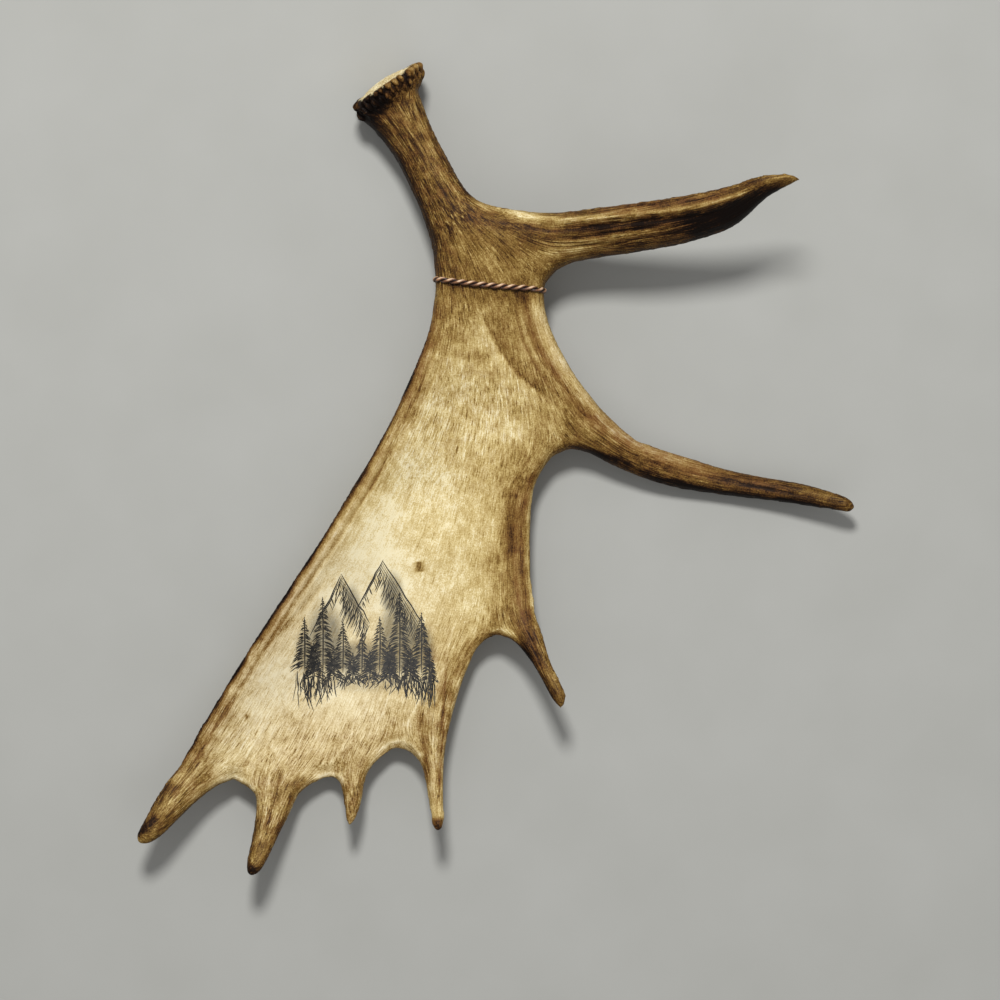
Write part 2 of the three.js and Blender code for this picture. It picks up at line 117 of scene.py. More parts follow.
def tree_of(mesh):
    """The mesh's faces as a tree that rays can be shot at."""
    net = bmesh.new()
    net.from_mesh(mesh)
    tree = BVHTree.FromBMesh(net)
    net.free()
    return tree


# %% [markdown]
# ## Camera, floor and light
#
# The antler lies flat and we look straight down on it. A long lens from four metres keeps the raised
# tines from spreading outwards. The light is one broad soft box beyond the burr, so every ridge has a
# bright side towards +Y and a soft shadow towards -Y, and a weak one on the other side to open the
# shadows up. The floor is plain and pale.

# %% Camera
CAMERA_SPOT = (0.0030, -0.0314)
CAMERA_HEIGHT = 4.0
FOCUS_HEIGHT = 0.035
FIELD = 1.0
SENSOR = 36.0

camera_data = bpy.data.cameras.new("camera")
camera_data.sensor_width = SENSOR
camera_data.lens = SENSOR * (CAMERA_HEIGHT - FOCUS_HEIGHT) / FIELD
camera_data.clip_end = 20
camera = linked("camera", camera_data)
camera.location = (*CAMERA_SPOT, CAMERA_HEIGHT)
bpy.context.scene.camera = camera
bpy.context.scene.view_settings.view_transform = "Standard"
print("lens", round(camera_data.lens, 1), "mm")


# %% Lights
def soft_box(name, place, aim, size, watts):
    """An area lamp at place, turned to face aim."""
    lamp = bpy.data.lights.new(name, "AREA")
    lamp.shape = "DISK"
    lamp.size = size
    lamp.energy = watts
    holder = linked(name, lamp)
    holder.location = place
    holder.rotation_euler = (Vector(aim) - Vector(place)).to_track_quat("-Z", "Y").to_euler()


soft_box("key", (-0.3, 2.1, 3.7), (0, 0, 0), 0.9, 156)
soft_box("fill", (0.4, -1.6, 2.6), (0, 0, 0), 2.4, 7)

world = bpy.data.worlds.new("studio")
world.use_nodes = True
backdrop_light = world.node_tree.nodes["Background"]
backdrop_light.inputs["Color"].default_value = (0.95, 0.95, 0.97, 1)
backdrop_light.inputs["Strength"].default_value = 0.36
bpy.context.scene.world = world


# %% [markdown]
# ## Writing shader maths as expressions
#
# Every finish below is a sum of masks and noises. Wiring Math nodes by hand hides the idea, so a small
# class wraps a socket, and `+ - *` on it add the Math nodes. Any other node comes from `paint.node`.

# %% Shader helper
class Value:
    """A number that varies over a surface: a socket that can be used in an expression."""

    def __init__(self, paint, socket):
        self.paint = paint
        self.socket = socket

    def _math(self, operation, first, second=None):
        return self.paint.math(operation, first, second)

    def __add__(self, other):
        return self._math("ADD", self, other)

    def __radd__(self, other):
        return self._math("ADD", other, self)

    def __sub__(self, other):
        return self._math("SUBTRACT", self, other)

    def __rsub__(self, other):
        return self._math("SUBTRACT", other, self)

    def __mul__(self, other):
        return self._math("MULTIPLY", self, other)

    def floor(self):
        return self._math("FLOOR", self)

    def clamp(self):
        limited = self._math("ADD", self, 0.0)
        limited.socket.node.use_clamp = True
        return limited


class Paint:
    """One material and the nodes in it."""

    def __init__(self, name):
        self.material = bpy.data.materials.new(name)
        self.material.use_nodes = True
        self.tree = self.material.node_tree
        self.shader = self.tree.nodes["Principled BSDF"]

    def node(self, kind, settings=None, output=0, **inputs):
        """Adds a node: its settings first, then the values or links of its sockets."""
        made = self.tree.nodes.new(kind)
        for key, value in (settings or {}).items():
            if key == "stops":
                ramp = made.color_ramp
                while len(ramp.elements) < len(value):
                    ramp.elements.new(1.0)
                for element, (place, colour) in zip(ramp.elements, value):
                    element.position = place
                    element.color = colour
            else:
                setattr(made, key, value)
        for key, value in inputs.items():
            numbered = key[0] == "i" and key[1:].isdigit()
            self.put(made.inputs[int(key[1:]) if numbered else key], value)
        return Value(self, made.outputs[output])

    def put(self, socket, value):
        if isinstance(value, Value):
            self.tree.links.new(value.socket, socket)
        else:
            socket.default_value = value

    def math(self, operation, first, second=None):
        given = {"i0": first}
        if second is not None:
            given["i1"] = second
        return self.node("ShaderNodeMath", {"operation": operation}, **given)

    def attribute(self, name):
        return self.node("ShaderNodeAttribute", {"attribute_name": name}, output="Fac")

    def place(self):
        return self.node("ShaderNodeTexCoord", output="Object")

    def split(self, vector):
        """The X, Y and Z of a vector as three values."""
        parts = self.node("ShaderNodeSeparateXYZ", Vector=vector).socket.node
        return [Value(self, parts.outputs[axis]) for axis in "XYZ"]

    def join(self, x, y, z):
        return self.node("ShaderNodeCombineXYZ", X=x, Y=y, Z=z)

    def noise(self, vector, scale, detail=2.0, roughness=0.5):
        return self.node(
            "ShaderNodeTexNoise", {"noise_dimensions": "3D"}, output="Fac",
            Vector=vector, Scale=scale, Detail=detail, Roughness=roughness,
        )

    def span(self, value, low, high):
        """0 below low, 1 above high, smooth between."""
        return self.node(
            "ShaderNodeMapRange", {"interpolation_type": "SMOOTHSTEP"},
            Value=value, **{"From Min": low, "From Max": high},
        )

    def mix(self, share, first, second):
        return self.node(
            "ShaderNodeMix", {"data_type": "RGBA"}, output=2, i0=share, i6=first, i7=second,
        )

    def finish(self, colour, roughness, bump, distance, **constants):
        self.put(self.shader.inputs["Base Color"], colour)
        self.put(self.shader.inputs["Roughness"], roughness)
        if bump is not None:
            raised = self.node("ShaderNodeBump", Height=bump, Distance=distance, Strength=1.0)
            self.put(self.shader.inputs["Normal"], raised)
        for key, value in constants.items():
            self.shader.inputs[key].default_value = value
        return self.material


def linear(red, green, blue):
    """A colour named by its 0 to 255 screen values, as Blender's linear colour."""
    def one(level):
        share = level / 255
        return share / 12.92 if share <= 0.04045 else ((share + 0.055) / 1.055) ** 2.4
    return (one(red), one(green), one(blue), 1.0)


# %% Floor
FLOOR_SIZE = 30.0
floor_net = bmesh.new()
bmesh.ops.create_grid(floor_net, x_segments=1, y_segments=1, size=FLOOR_SIZE / 2)
floor_mesh = as_mesh(floor_net, "floor")
floor = linked("floor", floor_mesh)

floor_paint = Paint("pale_floor")
speckle = floor_paint.noise(floor_paint.place(), 9.0, detail=3.0)
floor_shade = floor_paint.mix(speckle, linear(163, 163, 157), linear(173, 173, 168))
floor_mesh.materials.append(floor_paint.finish(floor_shade, 0.85, None, 0))

# %% [markdown]
# ## One skin from the split bone
#
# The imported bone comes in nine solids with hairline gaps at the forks. We could bridge the cut loops
# one by one, but a voxel remesh does it in one go: it rebuilds the surface as an even net of small
# quads, and gaps thinner than a voxel close up. Smoothing then takes the facets out. On its own it
# would also wear the tips short, so what it takes away is smoothed as well and put back.

# %% Reading and moving a mesh's points
def places_of(mesh):
    flat = np.empty(3 * len(mesh.vertices))
    mesh.vertices.foreach_get("co", flat)
    return flat.reshape(-1, 3)


def normals_of(mesh):
    flat = np.empty(3 * len(mesh.vertices))
    mesh.vertex_normals.foreach_get("vector", flat)
    return flat.reshape(-1, 3)


def move_to(mesh, places):
    mesh.vertices.foreach_set("co", places.ravel())
    mesh.update()


# %% Even skin
VOXEL = 1.95 * MM
SMOOTHING_ROUNDS = 24


def joined_bone():
    """All the bone's solids in one mesh, with the loose corners of their triangles merged."""
    bone = bmesh.new()
    for name in BONE_NODES:
        bone.from_mesh(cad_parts[name].data)
    bmesh.ops.remove_doubles(bone, verts=bone.verts, dist=0.01 * MM)
    return as_mesh(bone, "joined_bone")


def remeshed(mesh, voxel):
    """The mesh rebuilt from even quads of about the voxel's size."""
    holder = linked("remesh", mesh)
    modifier = holder.modifiers.new("even", "REMESH")
    modifier.mode = "VOXEL"
    modifier.voxel_size = voxel
    return baked(holder)


def evened(mesh, rounds):
    """Takes the facets out of a mesh and leaves its tips and rims where they are."""
    ends = np.empty(2 * len(mesh.edges), np.int32)
    mesh.edges.foreach_get("vertices", ends)
    first, second = ends.reshape(-1, 2).T
    count = len(mesh.vertices)
    neighbours = np.bincount(ends, minlength=count)[:, None]

    def soft(values):
        for _ in range(rounds):
            around = np.column_stack([
                np.bincount(first, column[second], count) + np.bincount(second, column[first], count)
                for column in values.T
            ])
            values = (values + around / neighbours) / 2
        return values

    given = places_of(mesh)
    once = soft(given)
    places = once + soft(given - once)
    places[:, 2] = np.maximum(places[:, 2], 0.0)
    move_to(mesh, places)
    return mesh


skin_mesh = evened(remeshed(joined_bone(), VOXEL), SMOOTHING_ROUNDS)
tell(f"skin of {len(skin_mesh.polygons)} quads")

# %% [markdown]
# ## A map of the grain
#
# Bone grain runs from the burr out to every tip, the way water would run through a branching pipe. So
# we lay a grid over the plan and let a stream function settle: its value is fixed along each edge
# between two tips, and inside it is as smooth as a soap film. Lines of equal value are the grain.
# Grooves, streaks and stains all follow it, straight through the forks. On the steep sides the plan
# says nothing about what lies above what, so we also keep the height over the middle of the bone.

# %% Where the bone is, in plan
CELL = 3.0 * MM
MARGIN = 4


class PlanMap:
    """Square cells over the plan of the antler, with numbers that can be read between the cells."""

    def __init__(self, mesh):
        low, high = np.array(cad_low)[:2], np.array(cad_high)[:2]
        self.origin = low - MARGIN * CELL
        self.shape = tuple(int(n) for n in np.ceil((high - low) / CELL) + 2 * MARGIN + 1)
        x = self.origin[0] + CELL * np.arange(self.shape[0])
        y = self.origin[1] + CELL * np.arange(self.shape[1])
        self.x, self.y = np.meshgrid(x, y, indexing="ij")
        tree = tree_of(mesh)
        down, up = Vector((0, 0, -1)), Vector((0, 0, 1))
        tops = [tree.ray_cast(Vector((a, b, 1.0)), down)[0] for a, b in zip(self.x.flat, self.y.flat)]
        bottoms = [tree.ray_cast(Vector((a, b, -1.0)), up)[0] for a, b in zip(self.x.flat, self.y.flat)]
        middles = [(a.z + b.z) / 2 if a and b else 0.0 for a, b in zip(tops, bottoms)]
        self.inside = np.array([hit is not None for hit in tops]).reshape(self.shape)
        self.middle = np.array(middles).reshape(self.shape)

    def read(self, grid, places):
        """The grid's values at places, blended from the four cells around each."""
        across = (places[:, :2] - self.origin) / CELL
        across = np.clip(across, 0, np.array(self.shape) - 1.001)
        cell = np.floor(across).astype(int)
        share = across - cell
        i, j = cell[:, 0], cell[:, 1]
        u, v = share[:, 0], share[:, 1]
        near = grid[i, j] * (1 - u) + grid[i + 1, j] * u
        far = grid[i, j + 1] * (1 - u) + grid[i + 1, j + 1] * u
        return near * (1 - v) + far * v


plan_map = PlanMap(skin_mesh)
tell(f"plan map {plan_map.shape}, {plan_map.inside.mean():.0%} bone")

# %% Edges of the plan, from tip to tip
TIPS = {
    "burr_rear": (-141, 358), "point_1": (-358, -372), "point_2": (-245, -405), "point_3": (-147, -357),
    "point_4": (-59, -360), "point_5": (64, -239), "side_tine": (358, -37), "brow_tine": (292, 281),
    "burr_front": (-76, 403),
}
EDGES = [
    {"through": (-211, -121), "value": 0.0},
    {"through": (-264, -312), "value": 0.13},
    {"through": (-171, -310), "value": 0.27},
    {"through": (-97, -277), "value": 0.36},
    {"through": (1, -165), "value": 0.50},
    {"through": (34, -61), "value": 0.60},
    {"through": (49, 184), "value": 0.75},
    {"through": (-32, 280), "value": 1.0},
]
TIP_REACH = 7 * MM
BURR_REACH = 14 * MM


def shifted(grid, di, dj):
    return np.roll(np.roll(grid, di, 0), dj, 1)


NEIGHBOURS = [(di, dj) for di in (-1, 0, 1) for dj in (-1, 0, 1) if di or dj]


def rim_cells(inside):
    """Cells just outside the bone."""
    touching = np.zeros_like(inside)
    for di, dj in NEIGHBOURS:
        touching |= shifted(inside, di, dj)
    return touching & ~inside


def edge_values(grid_map):
    """Fixes a value on the rim cells of each edge, and says which cells it fixed."""
    rim = rim_cells(grid_map.inside)
    for name, spot in TIPS.items():
        tip = plan(spot)[0]
        reach = BURR_REACH if name.startswith("burr") else TIP_REACH
        rim &= np.hypot(grid_map.x - tip[0], grid_map.y - tip[1]) > reach
    values = np.full(grid_map.shape, 0.5)
    fixed = np.zeros(grid_map.shape, bool)
    for edge in EDGES:
        place = plan(edge["through"])[0]
        away = np.hypot(grid_map.x - place[0], grid_map.y - place[1])
        away[~rim | fixed] = np.inf
        front = [np.unravel_index(np.argmin(away), away.shape)]
        fixed[front[0]] = True
        while front:
            i, j = front.pop()
            values[i, j] = edge["value"]
            for di, dj in NEIGHBOURS:
                cell = (i + di, j + dj)
                if rim[cell] and not fixed[cell]:
                    fixed[cell] = True
                    front.append(cell)
    return values, fixed


def settle(values, fixed, open_cells, rounds, overshoot=1.93):
    """Relaxes the open cells until each is the mean of its four neighbours."""
    i, j = np.indices(values.shape)
    for _ in range(rounds):
        for parity in (0, 1):
            chosen = open_cells & ~fixed & ((i + j) % 2 == parity)
            around = sum(shifted(values, *step) for step in ((1, 0), (-1, 0), (0, 1), (0, -1))) / 4
            values[chosen] += overshoot * (around[chosen] - values[chosen])
    return values


rim_value, rim_fixed = edge_values(plan_map)
near_bone = plan_map.inside | rim_cells(plan_map.inside)
stream = settle(rim_value, rim_fixed, near_bone, 420)
middle_height = settle(plan_map.middle, plan_map.inside, ~plan_map.inside, 60, 1.5)
slope = np.hypot(*np.gradient(stream, CELL * 1000))
tell(f"stream settled on {int(rim_fixed.sum())} rim cells")
print(f"mean slope {slope[plan_map.inside].mean():.4f} per mm")

# %% [markdown]
# ## Sculpting
#
# A sculptor works with strokes: drag a tool along a path, and the surface lifts or sinks under it.
# Here a stroke is a path in plan with a width, a lift, and the tone it leaves: a change of tone (dark to
# pale) and of redness. Mostly that is stain, but some strokes lay painted highlights on crests and
# painted shade on sides turned away from the light. Sculpting and staining read the same list, so a
# groove is always as dark as it should be. Over the strokes go fine ridges that follow the grain.

# %% Strokes
REAR_EDGE = [
    (-64, 160), (-74, 129), (-89, 89), (-112, 41), (-138, -10), (-173, -65), (-213, -125), (-252, -185),
    (-289, -245), (-323, -303), (-350, -350),
]
FRONT_EDGE = [(62, 17), (51, 6), (40, -12), (33, -41), (31, -91), (36, -136), (46, -176), (58, -206)]
TONE_STEP = [(-18, 160), (-14, 151), (3, 117), (18, 97), (34, 83), (47, 72), (62, 62)]
BROW_CREST = [
    (-16, 264), (4, 257), (26, 250), (59, 245.5), (95, 246), (112, 248), (139, 250), (170, 252),
    (197, 256), (216, 261), (236, 266.5), (255, 274.5), (276, 283),
]


def moved(path, x, y):
    """The same path, shifted by millimetres."""
    return [(a + x, b + y) for a, b in path]


class Stroke(NamedTuple):
    """A path in plan, a width in millimetres, and what the tool leaves along the path."""

    path: list
    width: float
    tone: float
    red: float = 0.0
    lift: float = 0.0
    side: int = 0
    around: bool = False


STROKES = [
    # path, width and tone, and then redness and lift where there is any
    # the ridge along the front edge, from the neck out along the top of the side tine, paler on top as a
    # painted highlight
    Stroke([(36, 190), (38, 174), (46, 146), (57, 120), (66, 104), (76, 89), (100, 55), (126, 35),
           (143, 26), (160, 16), (203, 3), (240, -6)], 10, 0.22, red=0.36, lift=2.4),
    # the valley behind that ridge, brown partly from stain and partly as painted shade, and the fine stripes
    # beside it
    Stroke([(26, 182), (29, 160), (34, 138), (41, 120), (57, 97), (72, 74), (88, 55), (108, 38)], 7, -0.15,
           red=0.5, lift=-2.0),
    Stroke([(22, 176), (24, 152), (30, 130), (44, 104), (62, 80), (82, 58)], 2.6, 0.12, red=0.2, lift=0.8),
    Stroke([(18, 170), (20, 150), (26, 126), (40, 100), (58, 76), (76, 58)], 2.6, -0.12, red=0.4,
           lift=-0.7),
    Stroke([(33, 176), (35, 158), (41, 134), (49, 114), (64, 92), (80, 72), (98, 52)], 2.4, 0.14, red=0.3,
           lift=0.4),
    # the shoulder's step: brown on the side of the ridge, partly stain and partly painted shade, pale on the
    # side of the palm
    Stroke(TONE_STEP, 44, -0.12, red=0.12, side=1),
    Stroke(TONE_STEP, 26, 0.12, side=-1),
    Stroke(TONE_STEP, 3.2, -0.10, red=0.1, lift=-0.7),
    # the crest of the brow tine with a painted highlight, the red-brown face above it, and the grooves and
    # the dark blade below it, partly stain and partly painted shade
    Stroke(BROW_CREST, 6, 0.25, lift=2.4),
    Stroke(moved(BROW_CREST, 60, 13)[2:8], 2.6, -0.16, red=0.2, lift=-0.5),
    Stroke([(90, 254), (150, 258), (200, 263), (240, 274)], 9, -0.05, red=0.5, lift=-0.3),
    Stroke([(26, 238), (63, 236), (113, 240), (163, 243), (205, 247), (236, 258)], 4.5, -0.13, red=0.3,
           lift=-1.6),
    Stroke([(40, 229), (83, 228), (128, 234), (168, 240)], 3, -0.16, red=0.1, lift=-0.8),
    Stroke([(76, 236), (102, 235), (128, 237), (150, 240)], 9, -0.20, red=0.2),
    Stroke([(42, 214), (66, 212), (94, 218), (122, 222)], 9, 0.18, red=0.1),
    Stroke([(-40, 266), (-14, 261), (10, 256), (40, 248)], 7, 0.20, lift=0.6),
    Stroke([(-36, 250), (-11, 246), (14, 241), (40, 239)], 8, -0.16, red=0.2),
    Stroke([(66, 219), (108, 221), (150, 227), (188, 234)], 3, -0.12, red=0.1, lift=-0.6),
    Stroke([(70, 224), (118, 227), (158, 233)], 3, 0.10, lift=0.6),
    Stroke([(130, 243), (165, 243), (196, 243), (225, 249), (252, 264)], 11, -0.14, red=0.5, lift=-0.8),
    Stroke([(180, 232), (206, 236), (236, 247), (264, 268)], 20, -0.13, red=0.5),
    Stroke([(232, 240), (248, 253), (260, 263), (278, 275)], 6, -0.22),
    # the dark rear rim of the shaft, painted shade where the shaft rounds away
    Stroke([(-137, 352), (-124, 338), (-99, 308), (-84, 279), (-73, 252), (-64, 226), (-60, 200),
           (-60, 176)], 7, -0.24),
    Stroke([(-84, 372), (-66, 338), (-50, 306), (-34, 279), (-16, 264)], 5, -0.14),
    # the rear edge of the palm: a dark rim, a brown band with long streaks, and single darker streaks
    Stroke(REAR_EDGE, 7, -0.70, red=0.1, around=True),
    Stroke(REAR_EDGE[5:9], 12, -0.26, red=0.1, around=True),
    Stroke([(-278, -248), (-291, -266), (-302, -278)], 9, -0.10, red=0.1),
    Stroke([(-300, -280), (-313, -298), (-326, -316)], 9, 0.20),
    Stroke([(-66, 130), (-78, 100), (-93, 64), (-112, 26)], 13, -0.12, red=0.1),
    Stroke(moved(REAR_EDGE, 9, -5), 24, -0.24, red=0.24),
    Stroke([(-61, 172), (-66, 150), (-74, 124), (-88, 92)], 13, -0.10, red=0.6),
    Stroke(moved(REAR_EDGE, 9, -4)[:8], 2.6, 0.14, red=0.4, lift=0.5),
    Stroke(moved(REAR_EDGE, 13, -7)[1:7], 2.4, -0.12, red=0.1, lift=-0.6),
    Stroke(moved(REAR_EDGE, 16, -9)[3:], 2.6, 0.08, lift=0.4),
    Stroke(moved(REAR_EDGE, 12, -6)[5:], 2.4, -0.16, red=0.1, lift=-0.4),
    Stroke([(-42, 150), (-55, 110), (-80, 60), (-112, 4), (-138, -38)], 3, -0.10, red=0.1, lift=-0.6),
    Stroke([(-160, -100), (-196, -140), (-230, -178), (-256, -220), (-280, -258)], 4, -0.13, lift=-0.4),
    # the front edge of the palm, and the dark underside of the side tine, which is painted shade
    Stroke(moved(FRONT_EDGE, -1, 0), 3, 0.08),
    Stroke(moved(FRONT_EDGE, -7, 0)[:7], 6, -0.20, red=0.45, lift=-0.4),
    Stroke(moved(FRONT_EDGE, -13, -2)[2:7], 4, 0.04, red=0.4, lift=0.3),
    Stroke(moved(FRONT_EDGE, -18, -3)[1:], 10, -0.12, red=0.15, lift=-0.2),
    Stroke([(58, 15), (80, 18), (100, 14), (123, 9), (160, -8), (203, -20), (250, -28), (300, -34),
           (345, -41)], 8, -0.28),
    Stroke([(84, 62), (104, 44), (134, 26), (176, 8), (216, -4)], 13, 0.08, red=0.66),
    Stroke([(180, 4), (240, -10), (300, -22)], 13, -0.02, red=0.4),
    Stroke([(90, 34), (123, 20), (163, 4), (213, -8), (273, -20), (333, -32)], 3, -0.14, red=0.1,
           lift=-0.8),
    Stroke([(13, -14), (12, -50), (15, -92)], 14, -0.17, red=0.1),
    Stroke([(14, 16), (34, -20)], 40, -0.12),
    # pale lips round the notches between the points, and the pale lines that run up from them
    Stroke([(-276, -312), (-264, -307.5), (-249, -312.5), (-240, -325)], 3.6, 0.22, lift=0.5),
    Stroke([(-290, -312), (-276, -304), (-262, -299)], 6, -0.12),
    Stroke([(-186, -310), (-171, -305.5), (-159, -306), (-151, -316)], 3.6, 0.22, lift=0.5),
    Stroke([(-208, -332), (-203, -317), (-192, -306)], 9, -0.20),
    Stroke([(-124, -286), (-109, -275), (-97, -271.5), (-84, -276), (-74, -290)], 3.6, 0.24, lift=0.5),
    Stroke([(-16, -167), (-6, -162), (3, -160), (12, -163), (24, -174)], 4.2, 0.26, lift=0.5),
    Stroke([(-46, -214), (-36, -196), (-26, -178), (-12, -165), (2, -160)], 11, -0.22, red=0.1),
    Stroke([(-262, -302), (-248, -282), (-232, -256)], 3, 0.13, lift=0.4),
    Stroke([(-170, -300), (-158, -284), (-142, -260)], 3, 0.13, lift=0.4),
    Stroke([(-96, -266), (-88, -250), (-76, -226)], 3, 0.13, lift=0.4),
    Stroke([(2, -154), (4, -136), (2, -112)], 3, 0.12, lift=0.4),
    # ribs and dark sides of the points, some of it painted shade, and the dark caps at their ends
    Stroke([(-240, -392), (-252, -420)], 17, -0.42),
    Stroke([(-60, -344), (-58, -384)], 13, -0.46, red=0.5, around=True),
    Stroke([(-336, -344), (-348, -354), (-360, -366)], 9, -0.32),
    Stroke([(-349, -362), (-370, -384)], 7, 0.14),
    # painted shade along the lower side of point 1 near its tip
    Stroke([(-344, -366), (-318, -346), (-298, -330), (-284, -318)], 5, -0.16),
    Stroke([(-290, -290), (-316, -322), (-342, -352)], 4, 0.10, lift=0.6),
    Stroke([(-276, -290), (-302, -318), (-330, -348)], 3, -0.12, lift=-0.5),
    Stroke([(-243, -326), (-242, -360), (-249, -398)], 5, -0.22),
    Stroke([(-203, -322), (-214, -352), (-226, -382), (-240, -403)], 5, -0.22),
    Stroke([(-226, -296), (-230, -336), (-238, -378)], 4, 0.12, lift=0.8),
    Stroke([(-216, -296), (-222, -330), (-232, -366)], 3, -0.14, red=0.1, lift=-0.6),
    Stroke([(-152, -312), (-152, -332), (-150, -350)], 4, -0.16, red=0.1),
    Stroke([(-128, -288), (-136, -312), (-142, -340)], 4, -0.16),
    Stroke([(-60, -196), (-62, -240), (-64, -290), (-62, -340)], 4.5, 0.12, red=0.1, lift=1.0),
    Stroke([(-50, -182), (-53, -232), (-56, -290), (-58, -330)], 3, -0.20, red=0.45, lift=-0.8),
    Stroke([(-77, -236), (-72, -280), (-69, -320)], 7, -0.24, red=0.25, lift=-0.6),
    Stroke([(-44, -186), (-47, -236), (-50, -292), (-54, -340)], 4, -0.10, lift=0.4),
    # painted shade down the left side of point 5
    Stroke([(20, -172), (32, -192), (46, -216), (58, -242)], 9, -0.40, red=0.1),
    Stroke([(34, -110), (42, -146), (54, -184), (64, -220)], 5, 0.13, red=0.1, lift=0.8),
    Stroke([(16, -96), (22, -134), (34, -172), (50, -212)], 4, -0.11, red=0.4, lift=-0.7),
    # painted shadow along the lower side of the cord, and painted shade for a gap beside the burr's front end
    Stroke([(-66, 187), (-31, 181.5), (-8, 180.5), (15, 179.3), (38, 177), (58, 175.5)], 3.4, -0.24),
    Stroke([(-72, 180), (-30, 177), (0, 174), (30, 171), (62, 169)], 12, -0.08),
    Stroke([(-95, 399), (-90, 388), (-86, 376)], 3, -0.16),
    # single marks on the palm: a knock, a speck and a reddish smudge
    Stroke([(-79, -92), (-77, -104)], 8, -0.55, lift=-0.4),
    Stroke([(-252, -246), (-248, -250)], 3, -0.35),
    Stroke([(-70, -182), (-60, -194)], 11, -0.08, red=0.5),
]


def reach_of(stroke, places, spread=1.0):
    """How strongly a stroke acts at each place: 1 on its path, fading out sideways and at its ends.

    A stroke with a side acts on that side only: 1 is left of the way its path runs, -1 is right of it.
    """
    points = plan(*stroke.path)
    lengths = np.linalg.norm(np.diff(points, axis=0), axis=1)
    total = lengths.sum()
    nearest = np.full(len(places), np.inf)
    along = np.zeros(len(places))
    across = np.zeros(len(places))
    walked = 0.0
    for start, end, length in zip(points[:-1], points[1:], lengths):
        step = (end - start) / length
        offset = places[:, :2] - start
        share = np.clip(offset @ step, 0, length)
        away = np.linalg.norm(offset - share[:, None] * step, axis=1)
        closer = away < nearest
        nearest[closer] = away[closer]
        along[closer] = walked + share[closer]
        across[closer] = (offset[:, 1] * step[0] - offset[:, 0] * step[1])[closer]
        walked += length
    fade = 0.16 * total
    ends = np.clip(np.minimum(along, total - along) / fade, 0, 1)
    ends = ends * ends * (3 - 2 * ends)
    reach = np.exp(-((nearest / (spread * stroke.width * MM / 2)) ** 2)) * ends
    if stroke.side:
        reach *= smooth_step(stroke.side * across, -0.6 * MM, 1.2 * MM)
    return reach


def smooth_step(values, low, high):
    share = np.clip((values - low) / (high - low), 0, 1)
    return share * share * (3 - 2 * share)


# %% Ridges along the grain
GRAIN_WIDTH = 2.2
LEAST_FACING = 0.22
RIDGE_LIFT, FINE_LIFT, SWELL_LIFT = 0.8, 0.6, 0.45
PALM_SMOOTHNESS = 0.72
TIP_FADE = (4 * MM, 24 * MM)


def grain_level(places, normals):
    """How many times the stream value has to be doubled for one unit to be one grain's width."""
    facing = np.maximum(np.abs(normals[:, 2]), LEAST_FACING)
    steep = np.maximum(plan_map.read(slope, places) * facing, 2e-4)
    return -np.log2(steep * GRAIN_WIDTH)


def girdle_height(places):
    """Height over the middle of the bone, in millimetres."""
    return (places[:, 2] - plan_map.read(middle_height, places)) / MM


def grain_noise(places, flow, level, width, length, seed):
    """Noise drawn out along the grain, -1 to 1. Two octaves are blended so that its width stays put."""
    wanted = level - math.log2(width / GRAIN_WIDTH)
    octave = np.floor(wanted)
    share = wanted - octave
    run = places * (1000 / length) + seed
    run[:, 0] += girdle_height(places) / width
    layers = []
    for extra in (0, 1):
        across = flow * 2.0 ** (octave + extra)
        layers.append(np.array([noise.noise((a, b, c)) for a, b, c in zip(across, run[:, 0], run[:, 1])]))
    return layers[0] * (1 - share) + layers[1] * share


def noise_at(places, scale):
    """Plain noise at each place, -1 to 1."""
    return np.array([noise.noise(place * scale) for place in places])


def away_from(spot, places):
    """How far in plan each place is from a spot given in millimetres."""
    return np.linalg.norm(places[:, :2] - plan(spot)[0], axis=1)


def tip_share(places):
    """0 at the tips of the tines and points, 1 away from them, so that sculpting leaves them pointed."""
    share = np.ones(len(places))
    for name, spot in TIPS.items():
        if not name.startswith("burr"):
            share *= smooth_step(away_from(spot, places), *TIP_FADE)
    return share


def sculpt_skin(mesh):
    """Moves every point of the skin along its normal by the strokes and the grain's ridges."""
    places = places_of(mesh)
    normals = normals_of(mesh)
    flow = plan_map.read(stream, places)
    level = grain_level(places, normals)
    upward = smooth_step(normals[:, 2], -0.1, 0.35)
    lift = np.zeros(len(places))
    for stroke in STROKES:
        if stroke.lift:
            lift += stroke.lift * reach_of(stroke, places) * upward
    palm_share = smooth_step(-plan_map.read(slope, places), -0.0085, -0.004)
    ridges = grain_noise(places, flow, level, width=6.5, length=60, seed=3.1)
    fine = grain_noise(places, flow, level, width=3.4, length=26, seed=7.7)
    lift += (RIDGE_LIFT * ridges + FINE_LIFT * fine) * (1 - PALM_SMOOTHNESS * palm_share)
    lift += SWELL_LIFT * noise_at(places, 28)
    lift *= tip_share(places)
    move_to(mesh, places + normals * (lift * MM)[:, None])


sculpt_skin(skin_mesh)
tell("skin sculpted")

# %% [markdown]
# ## The burr and the shaft
#
# The skin is cut in two under the cord, where nobody can see it, so that each half can have as many
# faces as its detail needs. The burr needs the most: it is a crown of small pearls and teeth round
# the pale, spongy face where the antler let go of the skull. Only the faces near it are subdivided,
# and then each pearl is pushed out as a small dome, long in the direction of the shaft.

# %% Cut the skin under the cord
# The tied cord has slipped a few millimetres towards the palm, at its rear and at its front.
cord_low, cord_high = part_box("cord_wrap")
CORD_RADIUS = 3.0 * MM
REAR_SLIP, FRONT_SLIP = 4.2 * MM, 4.8 * MM
cord_rear = Vector((cord_low.x, cord_high.y - CORD_RADIUS - REAR_SLIP, 0))
cord_front = Vector((cord_high.x, cord_low.y + CORD_RADIUS - FRONT_SLIP, 0))
cord_along = (cord_front - cord_rear).normalized()
cord_side = Vector((-cord_along.y, cord_along.x, 0))
cord_middle = (cord_rear + cord_front) / 2
along_way, side_way = np.array(cord_along), np.array(cord_side)


